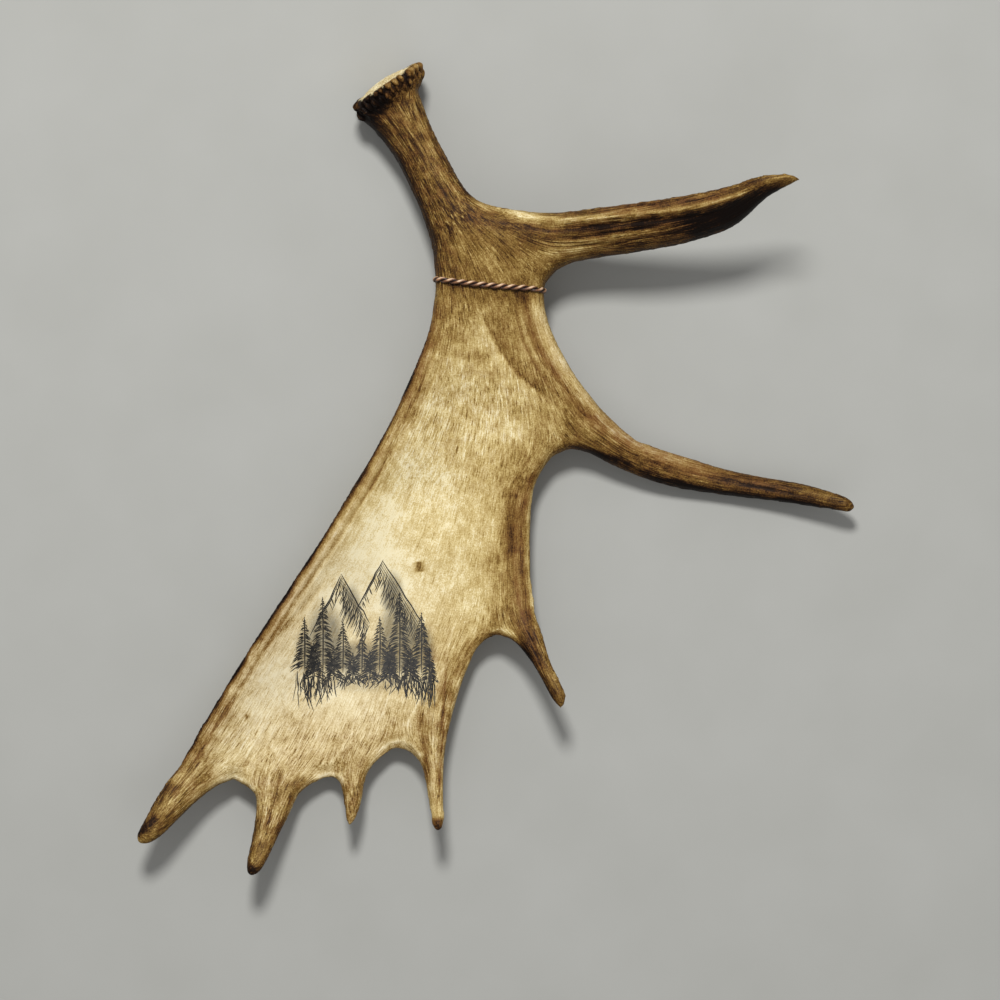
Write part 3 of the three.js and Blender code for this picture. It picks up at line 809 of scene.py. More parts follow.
def half_of(mesh, name, keep_burr):
    """The part of the skin on one side of the cord, with its cut closed."""
    half = bmesh.new()
    half.from_mesh(mesh)
    everything = half.verts[:] + half.edges[:] + half.faces[:]
    bmesh.ops.bisect_plane(
        half, geom=everything, dist=1e-7, plane_co=cord_middle, plane_no=cord_side,
        clear_inner=keep_burr, clear_outer=not keep_burr,
    )
    rim = [edge for edge in half.edges if edge.is_boundary]
    bmesh.ops.holes_fill(half, edges=rim, sides=0)
    return as_mesh(half, name)


beam_mesh = half_of(skin_mesh, "antler_beam", True)
palm_mesh = half_of(skin_mesh, "antler_palm", False)
tell(f"beam half {len(beam_mesh.polygons)}, palm half {len(palm_mesh.polygons)} faces")

# %% Burr
BURR_CENTRE = Vector((*plan((-109, 381))[0], 38.5 * MM))
BURR_AXIS = Vector((-0.55, 0.83, 0.14)).normalized()
BURR_RADIUS = 37.5 * MM
BURR_ZONE = (-13 * MM, 20 * MM)
burr_turn = BURR_AXIS.to_track_quat("Z", "X").to_matrix()


def burr_coordinates(places):
    """Angle round the burr, height along its axis and distance from it, for each place."""
    local = (places - np.array(BURR_CENTRE)) @ np.array(burr_turn)
    return np.arctan2(local[:, 1], local[:, 0]), local[:, 2], np.hypot(local[:, 0], local[:, 1])


def refine_burr(mesh, rounds):
    """Splits the faces round the burr into quarters."""
    skin = bmesh.new()
    skin.from_mesh(mesh)
    for _ in range(rounds):
        skin.verts.ensure_lookup_table()
        places = np.array([vert.co for vert in skin.verts])
        _, height, radius = burr_coordinates(places)
        near = (height > BURR_ZONE[0]) & (height < BURR_ZONE[1]) & (radius < 1.4 * BURR_RADIUS)
        chosen = [edge for edge in skin.edges if all(near[vert.index] for vert in edge.verts)]
        bmesh.ops.subdivide_edges(skin, edges=chosen, cuts=1, use_grid_fill=True)
        close = [vert for vert in skin.verts if vert.index < len(near) and near[vert.index]]
        bmesh.ops.smooth_vert(skin, verts=close, factor=0.3)
        skin.verts.index_update()
    skin.to_mesh(mesh)
    skin.free()


PEARL_ROWS = [
    # height along the axis, length, width and push in millimetres, and how many go round
    {"height": 2.5, "length": 13.5, "width": 6.2, "push": 4.8, "count": 29},
    {"height": -6.0, "length": 10.0, "width": 4.4, "push": 3.2, "count": 30},
    {"height": -12.0, "length": 8.0, "width": 3.0, "push": 1.2, "count": 26},
]
CROWN_PUSH, PIT_DEPTH, FULL_PEARL = 1.3, 0.9, 5


def sculpt_burr(mesh):
    """Pushes the pearls out round the burr's rim and roughens the face that broke from the skull."""
    places = places_of(mesh)
    normals = normals_of(mesh)
    angle, height, radius = burr_coordinates(places)
    axis = np.array(BURR_AXIS)
    pick = random.Random(11)
    outward = normals - np.outer(normals @ axis, axis)
    steep = np.linalg.norm(outward, axis=1)
    outward /= np.maximum(steep, 1e-6)[:, None]
    push = np.zeros(len(places))
    crown = np.zeros(len(places))
    rim = smooth_step(radius, 0.72 * BURR_RADIUS, 0.86 * BURR_RADIUS)
    for row in PEARL_ROWS:
        for k in range(row["count"]):
            turn = 2 * math.pi * (k + pick.uniform(-0.3, 0.3)) / row["count"]
            size = pick.uniform(0.6, 1.3)
            at = row["height"] + pick.uniform(-2.6, 2.2)
            around = (angle - turn + math.pi) % (2 * math.pi) - math.pi
            sideways = around * radius / (row["width"] * size * MM / 2)
            lengthwise = (height - at * MM) / (row["length"] * size * MM / 2)
            dome = np.clip(1 - sideways**2 - lengthwise**2, 0, 1) ** 0.5
            push = np.maximum(push, dome * row["push"] * size)
            if row["height"] > 0:
                crown = np.maximum(crown, dome * size)
    face = smooth_step(normals @ axis, 0.55, 0.85) * (1 - rim) * smooth_step(height, -2 * MM, 3 * MM)
    pits = noise_at(places, 420) + 0.6 * noise_at(places, 900)
    shaped = places + outward * (push * rim * MM)[:, None]
    shaped += np.outer(crown * rim * CROWN_PUSH * MM, axis)
    shaped += np.outer(face * (pits - 0.2) * PIT_DEPTH * MM, axis)
    shaped[:, 2] = np.maximum(shaped[:, 2], 0.0)
    move_to(mesh, shaped)
    return push * rim / FULL_PEARL


refine_burr(beam_mesh, 2)
pearl_height = sculpt_burr(beam_mesh)
tell(f"burr sculpted, beam half has {sum(len(p.vertices) - 2 for p in beam_mesh.polygons)} triangles")

# %% [markdown]
# ## Stains, painted shade and tone
#
# Old antler is pale where the plate was rubbed clean and brown where sap, soil and hands darkened it.
# A painter would block that in with a few named patches before any detail, and so do we: each patch
# has a tone from 0, almost black, to 1, cream, and the tone anywhere is the mean of the patches
# nearest to it. Faces turned down and faces turned towards -Y get painted shade, and the strokes add
# their own stain, painted shade and painted highlights. It all goes into attributes on the points, and
# the shader only has to add the grain.

# %% Patches
PATCHES = [
    # place in plan, tone, and how streaky the grain is there
    # burr and shaft
    (-134, 360, 0.0, 0.4), (-118, 362, 0.02, 0.4), (-102, 372, 0.28, 0.6), (-90, 384, 0.34, 0.6),
    (-128, 345, 0.04, 0.4), (-84, 398, 0.30, 0.4), (-112, 345, 0.20, 0.8), (-88, 352, 0.38, 0.9),
    (-98, 322, 0.24, 0.9), (-84, 318, 0.18, 0.8), (-72, 343, 0.48, 0.8), (-66, 322, 0.46, 0.9),
    (-80, 295, 0.27, 0.9), (-52, 292, 0.34, 1.0), (-62, 262, 0.26, 1.0), (-36, 262, 0.32, 0.9),
    (-14, 250, 0.36, 0.7),
    # first fork and neck
    (-57, 229, 0.30, 0.9), (-20, 226, 0.47, 0.35), (8, 230, 0.38, 0.3), (34, 229, 0.28, 0.6),
    (30, 250, 0.52, 0.5), (-58, 200, 0.34, 0.9), (-10, 200, 0.48, 0.2), (34, 200, 0.46, 0.2),
    (-48, 166, 0.46, 0.4), (-20, 173, 0.43, 0.2), (22, 173, 0.41, 0.2), (-6, 149, 0.63, 0.4),
    (-18, 124, 0.62, 0.5), (28, 150, 0.60, 0.4),
    # brow tine, its dark lower blade partly stain and partly painted shade
    (72, 238, 0.34, 0.8), (72, 212, 0.46, 0.7), (120, 222, 0.35, 0.9), (120, 240, 0.40, 0.9),
    (152, 230, 0.35, 0.8), (150, 244, 0.38, 0.8), (172, 225, 0.31, 0.8), (200, 240, 0.20, 0.7),
    (236, 254, 0.15, 0.6), (256, 266, 0.14, 0.5), (170, 260, 0.35, 0.7), (204, 265, 0.31, 0.7),
    (232, 274, 0.36, 0.6), (266, 284, 0.38, 0.3), (286, 286, 0.37, 0.2),
    # shoulder and palm
    (-62, 98, 0.78, 0.6), (-72, 72, 0.84, 0.5), (-58, 138, 0.52, 0.5), (-28, 88, 0.75, 0.7),
    (20, 66, 0.70, 0.6), (52, 49, 0.60, 0.4), (56, 94, 0.58, 0.4), (-88, 18, 0.90, 0.4),
    (-56, 38, 0.74, 0.5), (-28, 52, 0.71, 0.5), (-32, 24, 0.78, 0.5), (2, 46, 0.83, 0.5),
    (35, 81, 0.56, 0.5), (-64, -12, 0.92, 0.3), (-8, 2, 0.70, 0.4), (-10, -42, 0.78, 0.2),
    (20, -2, 0.66, 0.4), (-118, -54, 0.94, 0.15), (-62, -60, 0.82, 0.15), (-36, -68, 0.83, 0.15),
    (-120, -86, 1.0, 0.0), (-14, -78, 0.77, 0.3), (8, -92, 0.60, 0.4), (-42, -102, 0.85, 0.2),
    (24, -54, 0.56, 0.4), (26, -102, 0.48, 0.4), (-165, -110, 0.94, 0.1), (-95, -130, 0.92, 0.0),
    (-26, -128, 0.80, 0.2), (12, -131, 0.59, 0.5), (-230, -221, 0.93, 0.25), (-155, -230, 0.90, 0.1),
    (-80, -215, 0.86, 0.1), (-77, -250, 0.72, 0.4), (-262, -278, 0.78, 0.5), (-205, -270, 0.70, 0.4),
    (-184, -294, 0.68, 0.4), (-128, -252, 0.76, 0.4), (-102, -272, 0.62, 0.5), (-138, -288, 0.60, 0.5),
    (-50, -178, 0.66, 0.4), (-36, -156, 0.76, 0.2),
    # side tine
    (78, 40, 0.47, 0.55), (94, 36, 0.40, 0.55), (123, 19, 0.38, 0.6), (200, -8, 0.32, 0.6),
    (240, -12, 0.29, 0.6), (283, -19, 0.28, 0.5), (335, -32, 0.29, 0.4), (353, -37, 0.26, 0.3),
    # points
    (-318, -325, 0.58, 0.8), (-345, -352, 0.42, 0.6), (-355, -366, 0.36, 0.3), (-219, -331, 0.58, 0.8),
    (-235, -362, 0.46, 0.8), (-244, -390, 0.52, 0.5), (-246, -403, 0.30, 0.2), (-143, -320, 0.54, 0.8),
    (-147, -345, 0.50, 0.6), (-56, -230, 0.56, 0.8), (-58, -262, 0.56, 0.9), (-60, -315, 0.62, 0.8),
    (-59, -344, 0.66, 0.4), (14, -158, 0.50, 0.6), (27, -172, 0.30, 0.6), (48, -205, 0.38, 0.6),
    (62, -232, 0.36, 0.3),
]
PATCH_SOFTNESS = 9
UNDERSIDE_PAINTED_SHADE = 0.14
MINUS_Y_PAINTED_SHADE = 0.16


def patch_mean(places):
    """The mean tone and streakiness of the patches, weighed by how near each is."""
    tone = np.zeros(len(places))
    busy = np.zeros(len(places))
    weight = np.zeros(len(places))
    for x, y, patch_tone, patch_busy in PATCHES:
        centre = plan((x, y))[0]
        away = np.sum((places[:, :2] - centre) ** 2, axis=1) / MM**2
        near = 1 / (away + PATCH_SOFTNESS**2) ** 2
        tone += near * patch_tone
        busy += near * patch_busy
        weight += near
    return tone / weight, busy / weight


# %% Soft grey wash under the drawing
DRAWING_FOOT = (-132, -204)
WASHES = [
    # centre and half sizes in millimetres from the foot of the drawing, and strength
    {"at": (-40, 34), "size": (22, 40), "ink": 0.62}, {"at": (34, 34), "size": (26, 44), "ink": 0.66},
    {"at": (0, 14), "size": (68, 20), "ink": 0.62}, {"at": (27, 76), "size": (13, 28), "ink": 0.58},
    {"at": (-14, 66), "size": (11, 24), "ink": 0.52}, {"at": (0, -10), "size": (60, 12), "ink": 0.26},
    {"at": (56, 22), "size": (15, 30), "ink": 0.60}, {"at": (-58, 20), "size": (14, 28), "ink": 0.56},
]


def wash_at(places):
    """How much grey wash lies at each place."""
    foot = plan(DRAWING_FOOT)[0]
    wash = np.zeros(len(places))
    for spot in WASHES:
        x = (places[:, 0] - foot[0]) / MM - spot["at"][0]
        y = (places[:, 1] - foot[1]) / MM - spot["at"][1]
        away = np.hypot(x / spot["size"][0], y / spot["size"][1])
        wash = np.maximum(wash, spot["ink"] * (1 - smooth_step(away, 0.45, 1.1)))
    return wash


# %% Chalk and stored stains
CHALK_CENTRE = (-185, -205)
CHALK_FADE = (40 * MM, 200 * MM)
BROW_TIP_PULL = np.array([5.0, -0.8, 0.0]) * MM
BROW_TIP_FADE = (10 * MM, 34 * MM)


def chalk_at(places):
    """How rubbed and chalky the bone is: most on the lower palm."""
    return 1 - smooth_step(away_from(CHALK_CENTRE, places), *CHALK_FADE)


def keep_number(mesh, name, values):
    stored = mesh.attributes.new(name, "FLOAT", "POINT")
    stored.data.foreach_set("value", values.astype(np.float32))


def lay_stain_and_painted_light(mesh, pearls=None):
    """Stores the grain's coordinates, the stains and the painted shade and highlights on the mesh's points.
    """
    places = places_of(mesh)
    normals = normals_of(mesh)
    pearls = np.zeros(len(places)) if pearls is None else pearls
    upward = smooth_step(normals[:, 2], -0.15, 0.3)
    tone, busy = patch_mean(places)
    # painted shade: the steep sides and the underside of the bone are darker
    tone -= UNDERSIDE_PAINTED_SHADE * (1 - upward)
    # painted shade: faces turned towards -Y, away from the key light, are darker
    tone -= MINUS_Y_PAINTED_SHADE * smooth_step(-normals[:, 1], 0.25, 0.85) * tip_share(places)
    red = np.zeros(len(places))
    broken = 1 + 0.5 * noise_at(places, 34)
    for stroke in STROKES:
        reach = reach_of(stroke, places, spread=1.2) * broken
        if not stroke.around:
            reach *= upward
        tone += stroke.tone * reach
        red += stroke.red * reach
    _, height, radius = burr_coordinates(places)
    axis = np.array(BURR_AXIS)
    near_burr = smooth_step(height, -14 * MM, -4 * MM) * (radius < 1.5 * BURR_RADIUS)
    face = smooth_step(normals @ axis, 0.1, 0.4)
    face = face * (1 - smooth_step(radius, 0.84 * BURR_RADIUS, 0.95 * BURR_RADIUS))
    face *= smooth_step(height, -1 * MM, 4 * MM) * (1 - smooth_step(pearls, 0.35, 0.65))
    # pearl tops paler and redder, the gaps between them darker: partly the burr's own colour, partly painted
    # highlight and painted shade
    tone += near_burr * (1 - face) * (0.44 * pearls - 0.24)
    red += near_burr * (1 - face) * 0.5 * pearls
    keep_number(mesh, "flow", plan_map.read(stream, places))
    keep_number(mesh, "grain_level", grain_level(places, normals))
    keep_number(mesh, "girdle", girdle_height(places))
    keep_number(mesh, "tone", tone)
    keep_number(mesh, "busy", busy * (1 - 0.5 * near_burr))
    keep_number(mesh, "red", np.clip(red, 0, 1))
    keep_number(mesh, "pedicle", face)
    keep_number(mesh, "wash", wash_at(places) * (normals[:, 2] > 0.3))
    keep_number(mesh, "chalk", chalk_at(places) * upward)


def draw_out_tip(mesh):
    """Pulls the last stretch of the brow tine outwards, so that its end is long and blunt."""
    places = places_of(mesh)
    share = 1 - smooth_step(away_from(TIPS["brow_tine"], places), *BROW_TIP_FADE)
    move_to(mesh, places + share[:, None] * BROW_TIP_PULL)


# %% Both halves stained and given painted shade
lay_stain_and_painted_light(beam_mesh, pearl_height)
lay_stain_and_painted_light(palm_mesh)
draw_out_tip(beam_mesh)
for mesh in (beam_mesh, palm_mesh):
    mesh.shade_smooth()
tell("stains stored")

# %% [markdown]
# ## Bone finish
#
# Polished bone: a ramp from almost black through umber, tan and straw to cream, entered at the stored
# tone and shifted by the grain. Grain noise is read at the stream value times a power of two, so a
# streak keeps its width from the thin shaft to the wide palm. Pits and scratches are noise in plain
# object coordinates. The palm is smoother than the tines, so roughness and bump follow the tone.

# %% Antler material
BONE_STOPS = [
    (0.00, linear(15, 7, 4)), (0.14, linear(44, 26, 11)), (0.28, linear(82, 56, 24)),
    (0.42, linear(119, 90, 41)), (0.56, linear(154, 126, 70)), (0.70, linear(188, 163, 104)),
    (0.84, linear(214, 193, 137)), (0.94, linear(233, 216, 167)), (1.00, linear(244, 232, 192)),
]


def grain(paint, width, length, seed):
    """Streaks along the grain, about 0 to 1, of a width and length in millimetres."""
    wanted = paint.attribute("grain_level") - math.log2(width / GRAIN_WIDTH)
    octave = wanted.floor()
    x, y, _ = paint.split(paint.place())
    run_x = x * (1000 / length) + paint.attribute("girdle") * (1 / width) + seed
    run_y = y * (1000 / length)
    flow = paint.attribute("flow")
    layers = []
    for extra in (0, 1):
        across = flow * paint.math("POWER", 2.0, octave + extra)
        layers.append(paint.noise(paint.join(across, run_x, run_y), 1.0, detail=2.0, roughness=0.6))
    share = wanted - octave
    return layers[0] * (1 - share) + layers[1] * share


def bone_material():
    paint = Paint("antler_bone")
    place = paint.place()
    tone = paint.attribute("tone")
    busy = paint.attribute("busy")
    streaks = grain(paint, width=2.3, length=28, seed=1.3)
    hairs = grain(paint, width=1.0, length=12, seed=5.1)
    bands = grain(paint, width=7.0, length=60, seed=8.9)
    clouds = paint.noise(place, 60.0, detail=5.0, roughness=0.70)
    pores = paint.noise(place, 700.0, detail=2.0, roughness=0.7)
    shade = tone + (streaks - 0.5) * (busy * 0.85 + 0.12) + (bands - 0.5) * (busy * 0.40 + 0.10)
    shade = shade + (0.5 - hairs) * (busy * 0.7 + 0.38) + (clouds - 0.5) * 0.62 + (pores - 0.5) * 0.6
    grooves = paint.span(streaks, 0.57, 0.66) * busy
    flecks = paint.span(hairs, 0.58, 0.66) * (busy * 0.8 + 0.22)
    glints = paint.span(hairs, 0.44, 0.36) * (busy * 0.7 + 0.2)
    shade = shade - grooves * 0.16 - flecks * 0.24 + glints * 0.12 + 0.02
    shade = paint.math("MAXIMUM", shade, tone * 0.42)
    colour = paint.node("ShaderNodeValToRGB", {"stops": BONE_STOPS}, Fac=shade.clamp())
    rust = paint.span(paint.noise(place, 110.0, detail=3.0) + streaks * 0.4, 0.62, 0.85)
    red = (paint.attribute("red") * 0.5 + rust * busy * 0.30) * paint.span(shade, 0.08, 0.36)
    colour = paint.mix(red.clamp(), colour, linear(118, 72, 40))
    chalk = paint.attribute("chalk") * 0.34 * paint.span(shade, 0.45, 0.85)
    colour = paint.mix(chalk, colour, linear(226, 212, 184))
    wash = paint.attribute("wash") * (0.45 + clouds * 1.1)
    colour = paint.mix(wash.clamp(), colour, linear(70, 67, 60))
    sponge = paint.span(pores + clouds * 0.5, 0.60, 0.90)
    face = paint.mix(sponge, linear(184, 160, 106), linear(236, 224, 184))
    colour = paint.mix(paint.attribute("pedicle"), colour, face)
    roughness = 0.50 + (streaks - 0.5) * 0.2 + (clouds - 0.5) * 0.25
    height = (streaks - 0.5) * (busy * 0.9 + 0.12) + (0.5 - hairs) * (busy * 0.6 + 0.12)
    height = height + (bands - 0.5) * 0.3 + (pores - 0.5) * 0.18 - grooves * 0.4
    return paint.finish(colour, roughness, height, 0.9 * MM, **{"Specular IOR Level": 0.08})


bone = bone_material()


def show(mesh, name, material, nodes):
    """Puts a mesh in the scene as a piece that rides on the antler's one body."""
    piece = linked(name, mesh)
    mesh.materials.clear()
    mesh.materials.append(material)
    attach(piece, "root")
    if nodes:
        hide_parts(*nodes)


show(beam_mesh, "antler_beam", bone, ["beam", "brow_tine"])
PALM_NODES = [name for name in BONE_NODES if name not in ("beam", "brow_tine")]
show(palm_mesh, "antler_palm", bone, PALM_NODES)

# %% [markdown]
# ## The drawing
#
# Somebody drew on the palm with pen and ink: here a stand of firs below two peaks, over a soft grey
# wash. A pen line is thinner than the net of the skin, so staining points would only give a blur.
# Instead each line is a narrow ribbon: a grid one square wide, bent along the line, dropped on the
# bone, and given a hair's thickness, with both ends drawn to a point.

# %% Pen
PEN_STEP = 2.2
INK_LIFT = 0.10 * MM
INK_THICKNESS = 0.16 * MM
pen_pick = random.Random(5)
pen_lines = []


def pen(points, width):
    """Keeps one line of the pen, in millimetres from the foot of the drawing."""
    pen_lines.append((points, width))


def fir(x, foot, height, spread):
    """A fir: a trunk, and boughs that droop and get longer downwards."""
    pen([(x, foot - 3), (x + 0.4, foot + height * 0.5), (x, foot + height)], 1.4)
    rows = int(height / 2.3)
    for row in range(rows):
        down = (row + 0.7) / rows
        y = foot + height * (1 - 0.95 * down)
        for side in (-1, 1):
            for _ in range(2 + round(2.4 * down)):
                reach = spread * down**0.85 * pen_pick.uniform(0.5, 1.12)
                drop = reach * pen_pick.uniform(0.25, 0.6)
                start = x + side * reach * pen_pick.uniform(0.0, 0.35)
                lift = pen_pick.uniform(-1.0, 1.0)
                middle = (x + side * reach * 0.6, y + lift - drop * 0.35)
                end = (x + side * reach, y + lift - drop)
                pen([(start, y + lift), middle, end], pen_pick.uniform(0.6, 1.1))


def peak(left, top, right, hatches):
    """A mountain: a broken outline, and slanting hatches on its shaded side."""
    for start, end in ((left, top), (top, right)):
        line = []
        for k in range(9):
            share = k / 8
            x = start[0] + (end[0] - start[0]) * share + pen_pick.uniform(-0.9, 0.9)
            line.append((x, start[1] + (end[1] - start[1]) * share + pen_pick.uniform(-1.3, 1.3)))
        pen(line, 1.4)
        pen([(x + 0.8, y - 1.2) for x, y in line[2:8]], 0.9)
    for k in range(hatches):
        share = (k + 0.5) / hatches
        x = top[0] + (right[0] - top[0]) * share
        y = top[1] + (right[1] - top[1]) * share - 1.2
        length = pen_pick.uniform(8, 26) * (1.1 - 0.4 * share)
        pen([(x, y), (x - 0.22 * length, y - 0.5 * length), (x - 0.30 * length, y - length)],
            pen_pick.uniform(0.6, 1.1))
        second = [(x - 3, y - 6 - length * 0.3), (x - 3 - 0.3 * length, y - 6 - length)]
        pen(second, pen_pick.uniform(0.6, 0.9))
    for k in range(hatches // 3):
        share = pen_pick.uniform(0.1, 0.9)
        x = top[0] + (left[0] - top[0]) * share
        y = top[1] + (left[1] - top[1]) * share - 2
        length = pen_pick.uniform(4, 10)
        pen([(x, y), (x + 0.35 * length, y - length)], 0.7)


peak((-56, 36), (-24, 98), (4, 48), 34)
peak((-10, 60), (17, 112), (62, 40), 44)
FIRS = [
    # place, foot, height and half width
    (-61, 4, 52, 14), (-43, -2, 78, 18), (-23, 2, 50, 14), (-4, 0, 40, 13), (14, 2, 54, 15),
    (34, -4, 84, 19), (56, 2, 58, 15), (-52, -6, 36, 13), (24, -8, 38, 13), (64, -8, 34, 10),
    (-32, -8, 34, 12), (4, -8, 30, 12), (45, -8, 32, 12), (-13, -8, 28, 10),
]
for trunk in FIRS:
    fir(*trunk)
for _ in range(230):
    blade = pen_pick.uniform(-70, 70)
    side = math.cos(blade / 70 * math.pi) * 0.5
    top = pen_pick.uniform(-10, 2)
    fall = pen_pick.uniform(6, 26) * (0.8 - side)
    lean = pen_pick.uniform(-5, 5)
    pen([(blade, top), (blade + pen_pick.uniform(-2, 2), top - fall * 0.5), (blade + lean, top - fall)],
        pen_pick.uniform(0.6, 1.2))
print(len(pen_lines), "pen lines")


# %% Ink on the bone
def walked_lengths(path):
    """How far along a path each of its points is."""
    return np.concatenate([[0], np.cumsum(np.linalg.norm(np.diff(path, axis=0), axis=1))])


def lay_ribbon(ink, tree, points, width):
    """Lays one pen line on the bone as a narrow ribbon."""
    path = plan(*points) + (plan(DRAWING_FOOT)[0] - plan((0, 0))[0])
    lengths = walked_lengths(path)
    squares = max(3, round(lengths[-1] / (PEN_STEP * MM)))

    def spot_at(share):
        far = np.clip(share, 0, 1) * lengths[-1]
        return np.array([np.interp(far, lengths, path[:, axis]) for axis in (0, 1)])

    grid = bmesh.ops.create_grid(ink, x_segments=squares, y_segments=1, size=1.0)["verts"]
    for vert in grid:
        share = (vert.co.x + 1) / 2
        spot = spot_at(share)
        ahead_x, ahead_y = spot_at(share + 0.05) - spot_at(share - 0.05)
        size = math.hypot(ahead_x, ahead_y)
        half = width * MM / 2 * (0.22 + 0.78 * math.sin(math.pi * share) ** 0.5) * vert.co.y
        x = spot[0] - ahead_y / size * half
        y = spot[1] + ahead_x / size * half
        ground, normal, _, _ = tree.ray_cast(Vector((x, y, 0.5)), Vector((0, 0, -1)))
        vert.co = ground + normal * INK_LIFT


def ink_mesh():
    tree = tree_of(palm_mesh)
    ink = bmesh.new()
    for points, width in pen_lines:
        lay_ribbon(ink, tree, points, width)
    bmesh.ops.solidify(ink, geom=ink.faces[:], thickness=INK_THICKNESS)
    bmesh.ops.recalc_face_normals(ink, faces=ink.faces)
    return as_mesh(ink, "ink_drawing")


def ink_material():
    paint = Paint("black_ink")
    place = paint.place()
    paling = paint.noise(place, 260.0, detail=4.0, roughness=0.65)
    shade = paint.mix(paint.span(paling, 0.42, 0.70), linear(14, 13, 12), linear(62, 57, 48))
    return paint.finish(shade, 0.6 + (paling - 0.5) * 0.2, None, 0)


show(ink_mesh(), "ink_drawing", ink_material(), [])
tell("drawing inked")

# %% [markdown]
# ## The cord
#
# Two strands of brown cord are laid round each other and tied tight round the neck, with the knot out
# of sight underneath. The line it follows is found by shooting rays at the skin from inside the neck,
# in the cord's own slanted plane, so it sits on the bone all the way round. Each strand is a bevelled
# curve that winds round that line.

# %% Line round the neck
STRAND_RADIUS = 1.6 * MM
LAY_LENGTH = 20 * MM
SEAT = 1.1 * MM
SIDE_SEAT = 1.9 * MM
SAG = 2.0 * MM
RAYS = 180


def neck_line():
    """A closed line on the skin round the neck, in the cord's own slanted plane."""
    tree = tree_of(skin_mesh)
    heart = cord_middle.copy()
    heart.z = (cord_low.z + cord_high.z) / 2
    hits = []
    for k in range(RAYS):
        turn = 2 * math.pi * k / RAYS
        ray = cord_along * math.cos(turn) + Vector((0, 0, 1)) * math.sin(turn)
        hits.append(np.array(tree.ray_cast(heart, ray)[0]))
    line = np.array(hits)
    for _ in range(6):
        line = (np.roll(line, 1, 0) + 2 * line + np.roll(line, -1, 0)) / 4
    return line


def evenly(line, count):
    """A closed line resampled to evenly spaced points."""
    closed = np.vstack([line, line[:1]])
    lengths = walked_lengths(closed)
    wanted = np.linspace(0, lengths[-1], count, endpoint=False)
    return np.column_stack([np.interp(wanted, lengths, closed[:, axis]) for axis in range(3)]), lengths[-1]


def sagging(line):
    """The line with a slight sag towards the palm, deepest a little behind its middle."""
    half = (cord_front - cord_rear).length / 2
    across = (line - np.array(cord_middle)) @ along_way / half
    sag = SAG * np.clip(1 - ((across + 0.3) / 0.9) ** 2, 0, 1)
    return line - np.outer(sag, side_way)


line, girth = evenly(sagging(neck_line()), 240)
ahead = np.roll(line, -1, 0) - np.roll(line, 1, 0)
ahead /= np.linalg.norm(ahead, axis=1)[:, None]
outward = np.cross(ahead, side_way)
outward /= np.linalg.norm(outward, axis=1)[:, None]
if np.sum(outward * (line - line.mean(0))) < 0:
    outward = -outward
tell(f"cord goes {girth * 1000:.0f} mm round the neck")


# %% Twisted strands
def tube(name, points, radius, closed):
    """A bevelled curve through the points."""
    data = bpy.data.curves.new(name, "CURVE")
    data.dimensions = "3D"
    data.bevel_depth = radius
    data.bevel_resolution = 4
    data.use_fill_caps = not closed
    spline = data.splines.new("POLY")
    spline.points.add(len(points) - 1)
    spline.use_cyclic_u = closed
    for point, place in zip(spline.points, points):
        point.co = (*place, 1)
    return baked(linked(name, data))


turns = round(girth / LAY_LENGTH)
offset = 0.88 * STRAND_RADIUS
sideways = np.abs(outward @ along_way)[:, None]
centre_line = line + outward * (2 * STRAND_RADIUS - SEAT - SIDE_SEAT * sideways)
strands = []
for strand in (0, 1):
    twist = -2 * math.pi * (turns * np.arange(len(line)) / len(line) + strand / 2)
    turned = outward * np.cos(twist)[:, None] + side_way * np.sin(twist)[:, None]
    wound = centre_line + offset * turned
    strands.append(tube(f"strand_{strand}", wound, STRAND_RADIUS, True))
tell(f"{turns} turns of lay")

# %% Knot underneath
KNOT_LOOP = 5.2 * MM
bottom = int(np.argmin(centre_line[:, 2]))
knot_place = Vector(centre_line[bottom])
knot_ahead = Vector(ahead[bottom])
knot_side = cord_side
knot_down = Vector(outward[bottom])


def knot_tube(name, rise, turn, stretch):
    """One flattened loop of the knot."""
    points = []
    for k in range(36):
        angle = 2 * math.pi * k / 36
        flat = knot_side * (stretch * math.cos(angle)) + knot_ahead * (0.72 * math.sin(angle))
        bend = Quaternion(knot_down, turn)
        place = knot_place + (bend @ flat) * KNOT_LOOP + knot_down * (rise + 0.8 * MM * math.sin(2 * angle))
        points.append(place)
    return tube(name, points, STRAND_RADIUS, True)


def loose_end(name, lean):
    """A short cut end that comes out of the knot and lies back on the bone."""
    points = []
    for k in range(14):
        far = k / 13
        place = knot_place + knot_side * lean * far * 15 * MM + knot_ahead * math.sin(3 * far) * 3 * MM
        place += knot_down * (1.8 * MM * math.sin(math.pi * far) - 0.4 * MM)
        points.append(place)
    return tube(name, points, STRAND_RADIUS * 0.95, False)


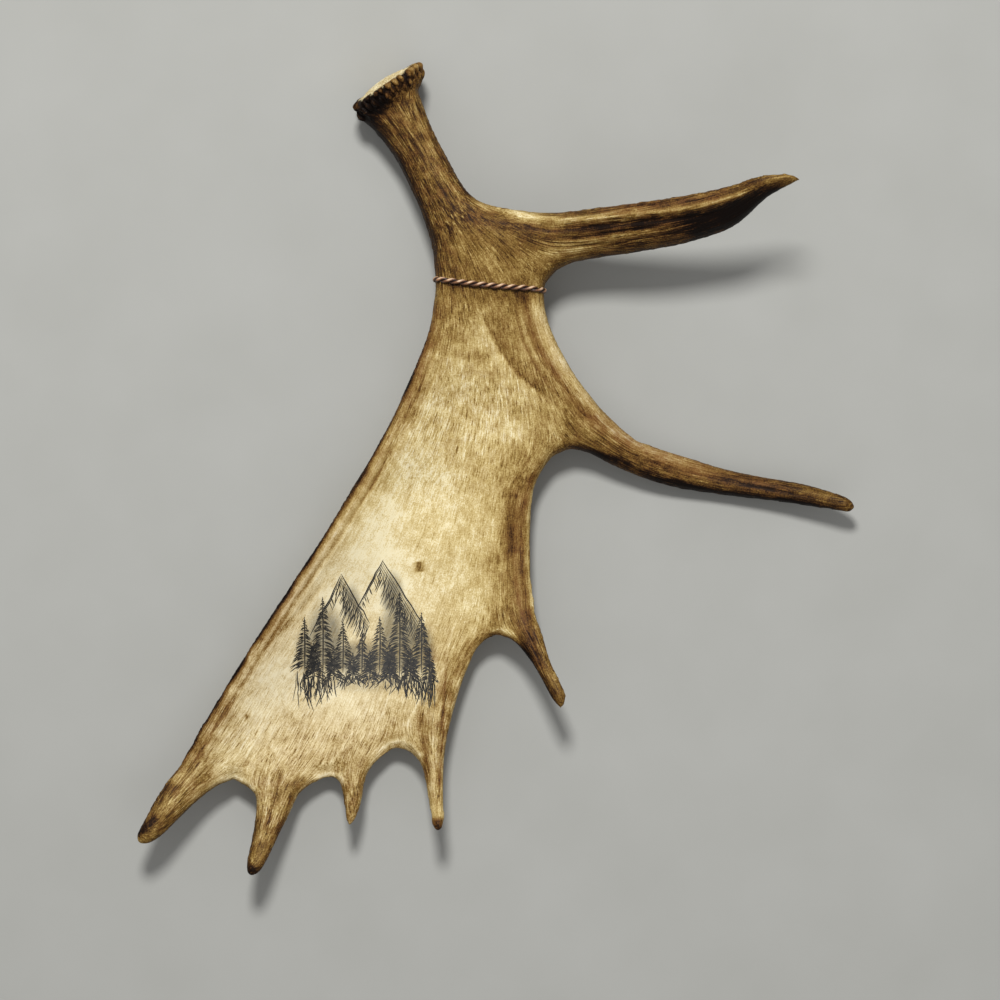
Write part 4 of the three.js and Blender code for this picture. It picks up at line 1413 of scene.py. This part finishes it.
knot_meshes = [
    knot_tube("loop_1", 0.6 * MM, 0.3, 0.9), knot_tube("loop_2", 2.0 * MM, -0.5, 0.7),
    loose_end("end_1", 1.0), loose_end("end_2", -1.0),
]
cord_net = bmesh.new()
for mesh in strands + knot_meshes:
    cord_net.from_mesh(mesh)
bmesh.ops.recalc_face_normals(cord_net, faces=cord_net.faces)
cord_mesh = as_mesh(cord_net, "cord")
cord_places = places_of(cord_mesh)
cord_core = KDTree(len(centre_line))
for k, place in enumerate(centre_line):
    cord_core.insert(place, k)
cord_core.balance()
nearest = [cord_core.find(place) for place in cord_places]
proud = np.array([away for _, _, away in nearest]) / (2 * STRAND_RADIUS)
lower = np.array([(spot - Vector(place)).dot(cord_side) for (spot, _, _), place in zip(nearest, cord_places)])
# proud: how far out from the cord's core; lower: how far towards the palm side; they place the cord's painted
# highlight and painted shade
keep_number(cord_mesh, "proud", proud)
keep_number(cord_mesh, "lower", lower / (2 * STRAND_RADIUS))
cord_mesh.shade_smooth()


# %% Cord material
def cord_material():
    paint = Paint("brown_cord")
    place = paint.place()
    fibres = paint.noise(place, 900.0, detail=3.0, roughness=0.6)
    wear = paint.noise(place, 130.0, detail=3.0)
    shade = paint.mix(paint.span(wear, 0.35, 0.68), linear(118, 74, 42), linear(160, 112, 76))
    # painted highlight on the strand crowns on the side away from the palm, broken up by wear
    paling = paint.span(paint.attribute("lower") + wear * 0.5, 0.55, -0.1)
    shade = paint.mix(paling * paint.span(paint.attribute("proud"), 0.80, 0.98), shade, linear(236, 204, 168))
    shade = paint.mix(paint.span(fibres, 0.50, 0.75) * 0.3, shade, linear(206, 168, 132))
    # painted shade in the grooves between the strands, near the cord's core
    shade = paint.mix(paint.span(paint.attribute("proud"), 0.55, 0.90), linear(34, 14, 6), shade)
    # painted shade along the cord's lower side, towards the palm
    shade = paint.mix(paint.span(paint.attribute("lower"), 0.15, 0.75) * 0.85, shade, linear(52, 27, 14))
    return paint.finish(shade, 0.42 + (fibres - 0.5) * 0.2, fibres + wear * 0.5, 0.35 * MM)


show(cord_mesh, "cord", cord_material(), ["cord_wrap"])
tell("cord tied")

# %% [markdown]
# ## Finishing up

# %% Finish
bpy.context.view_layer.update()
tell("done")
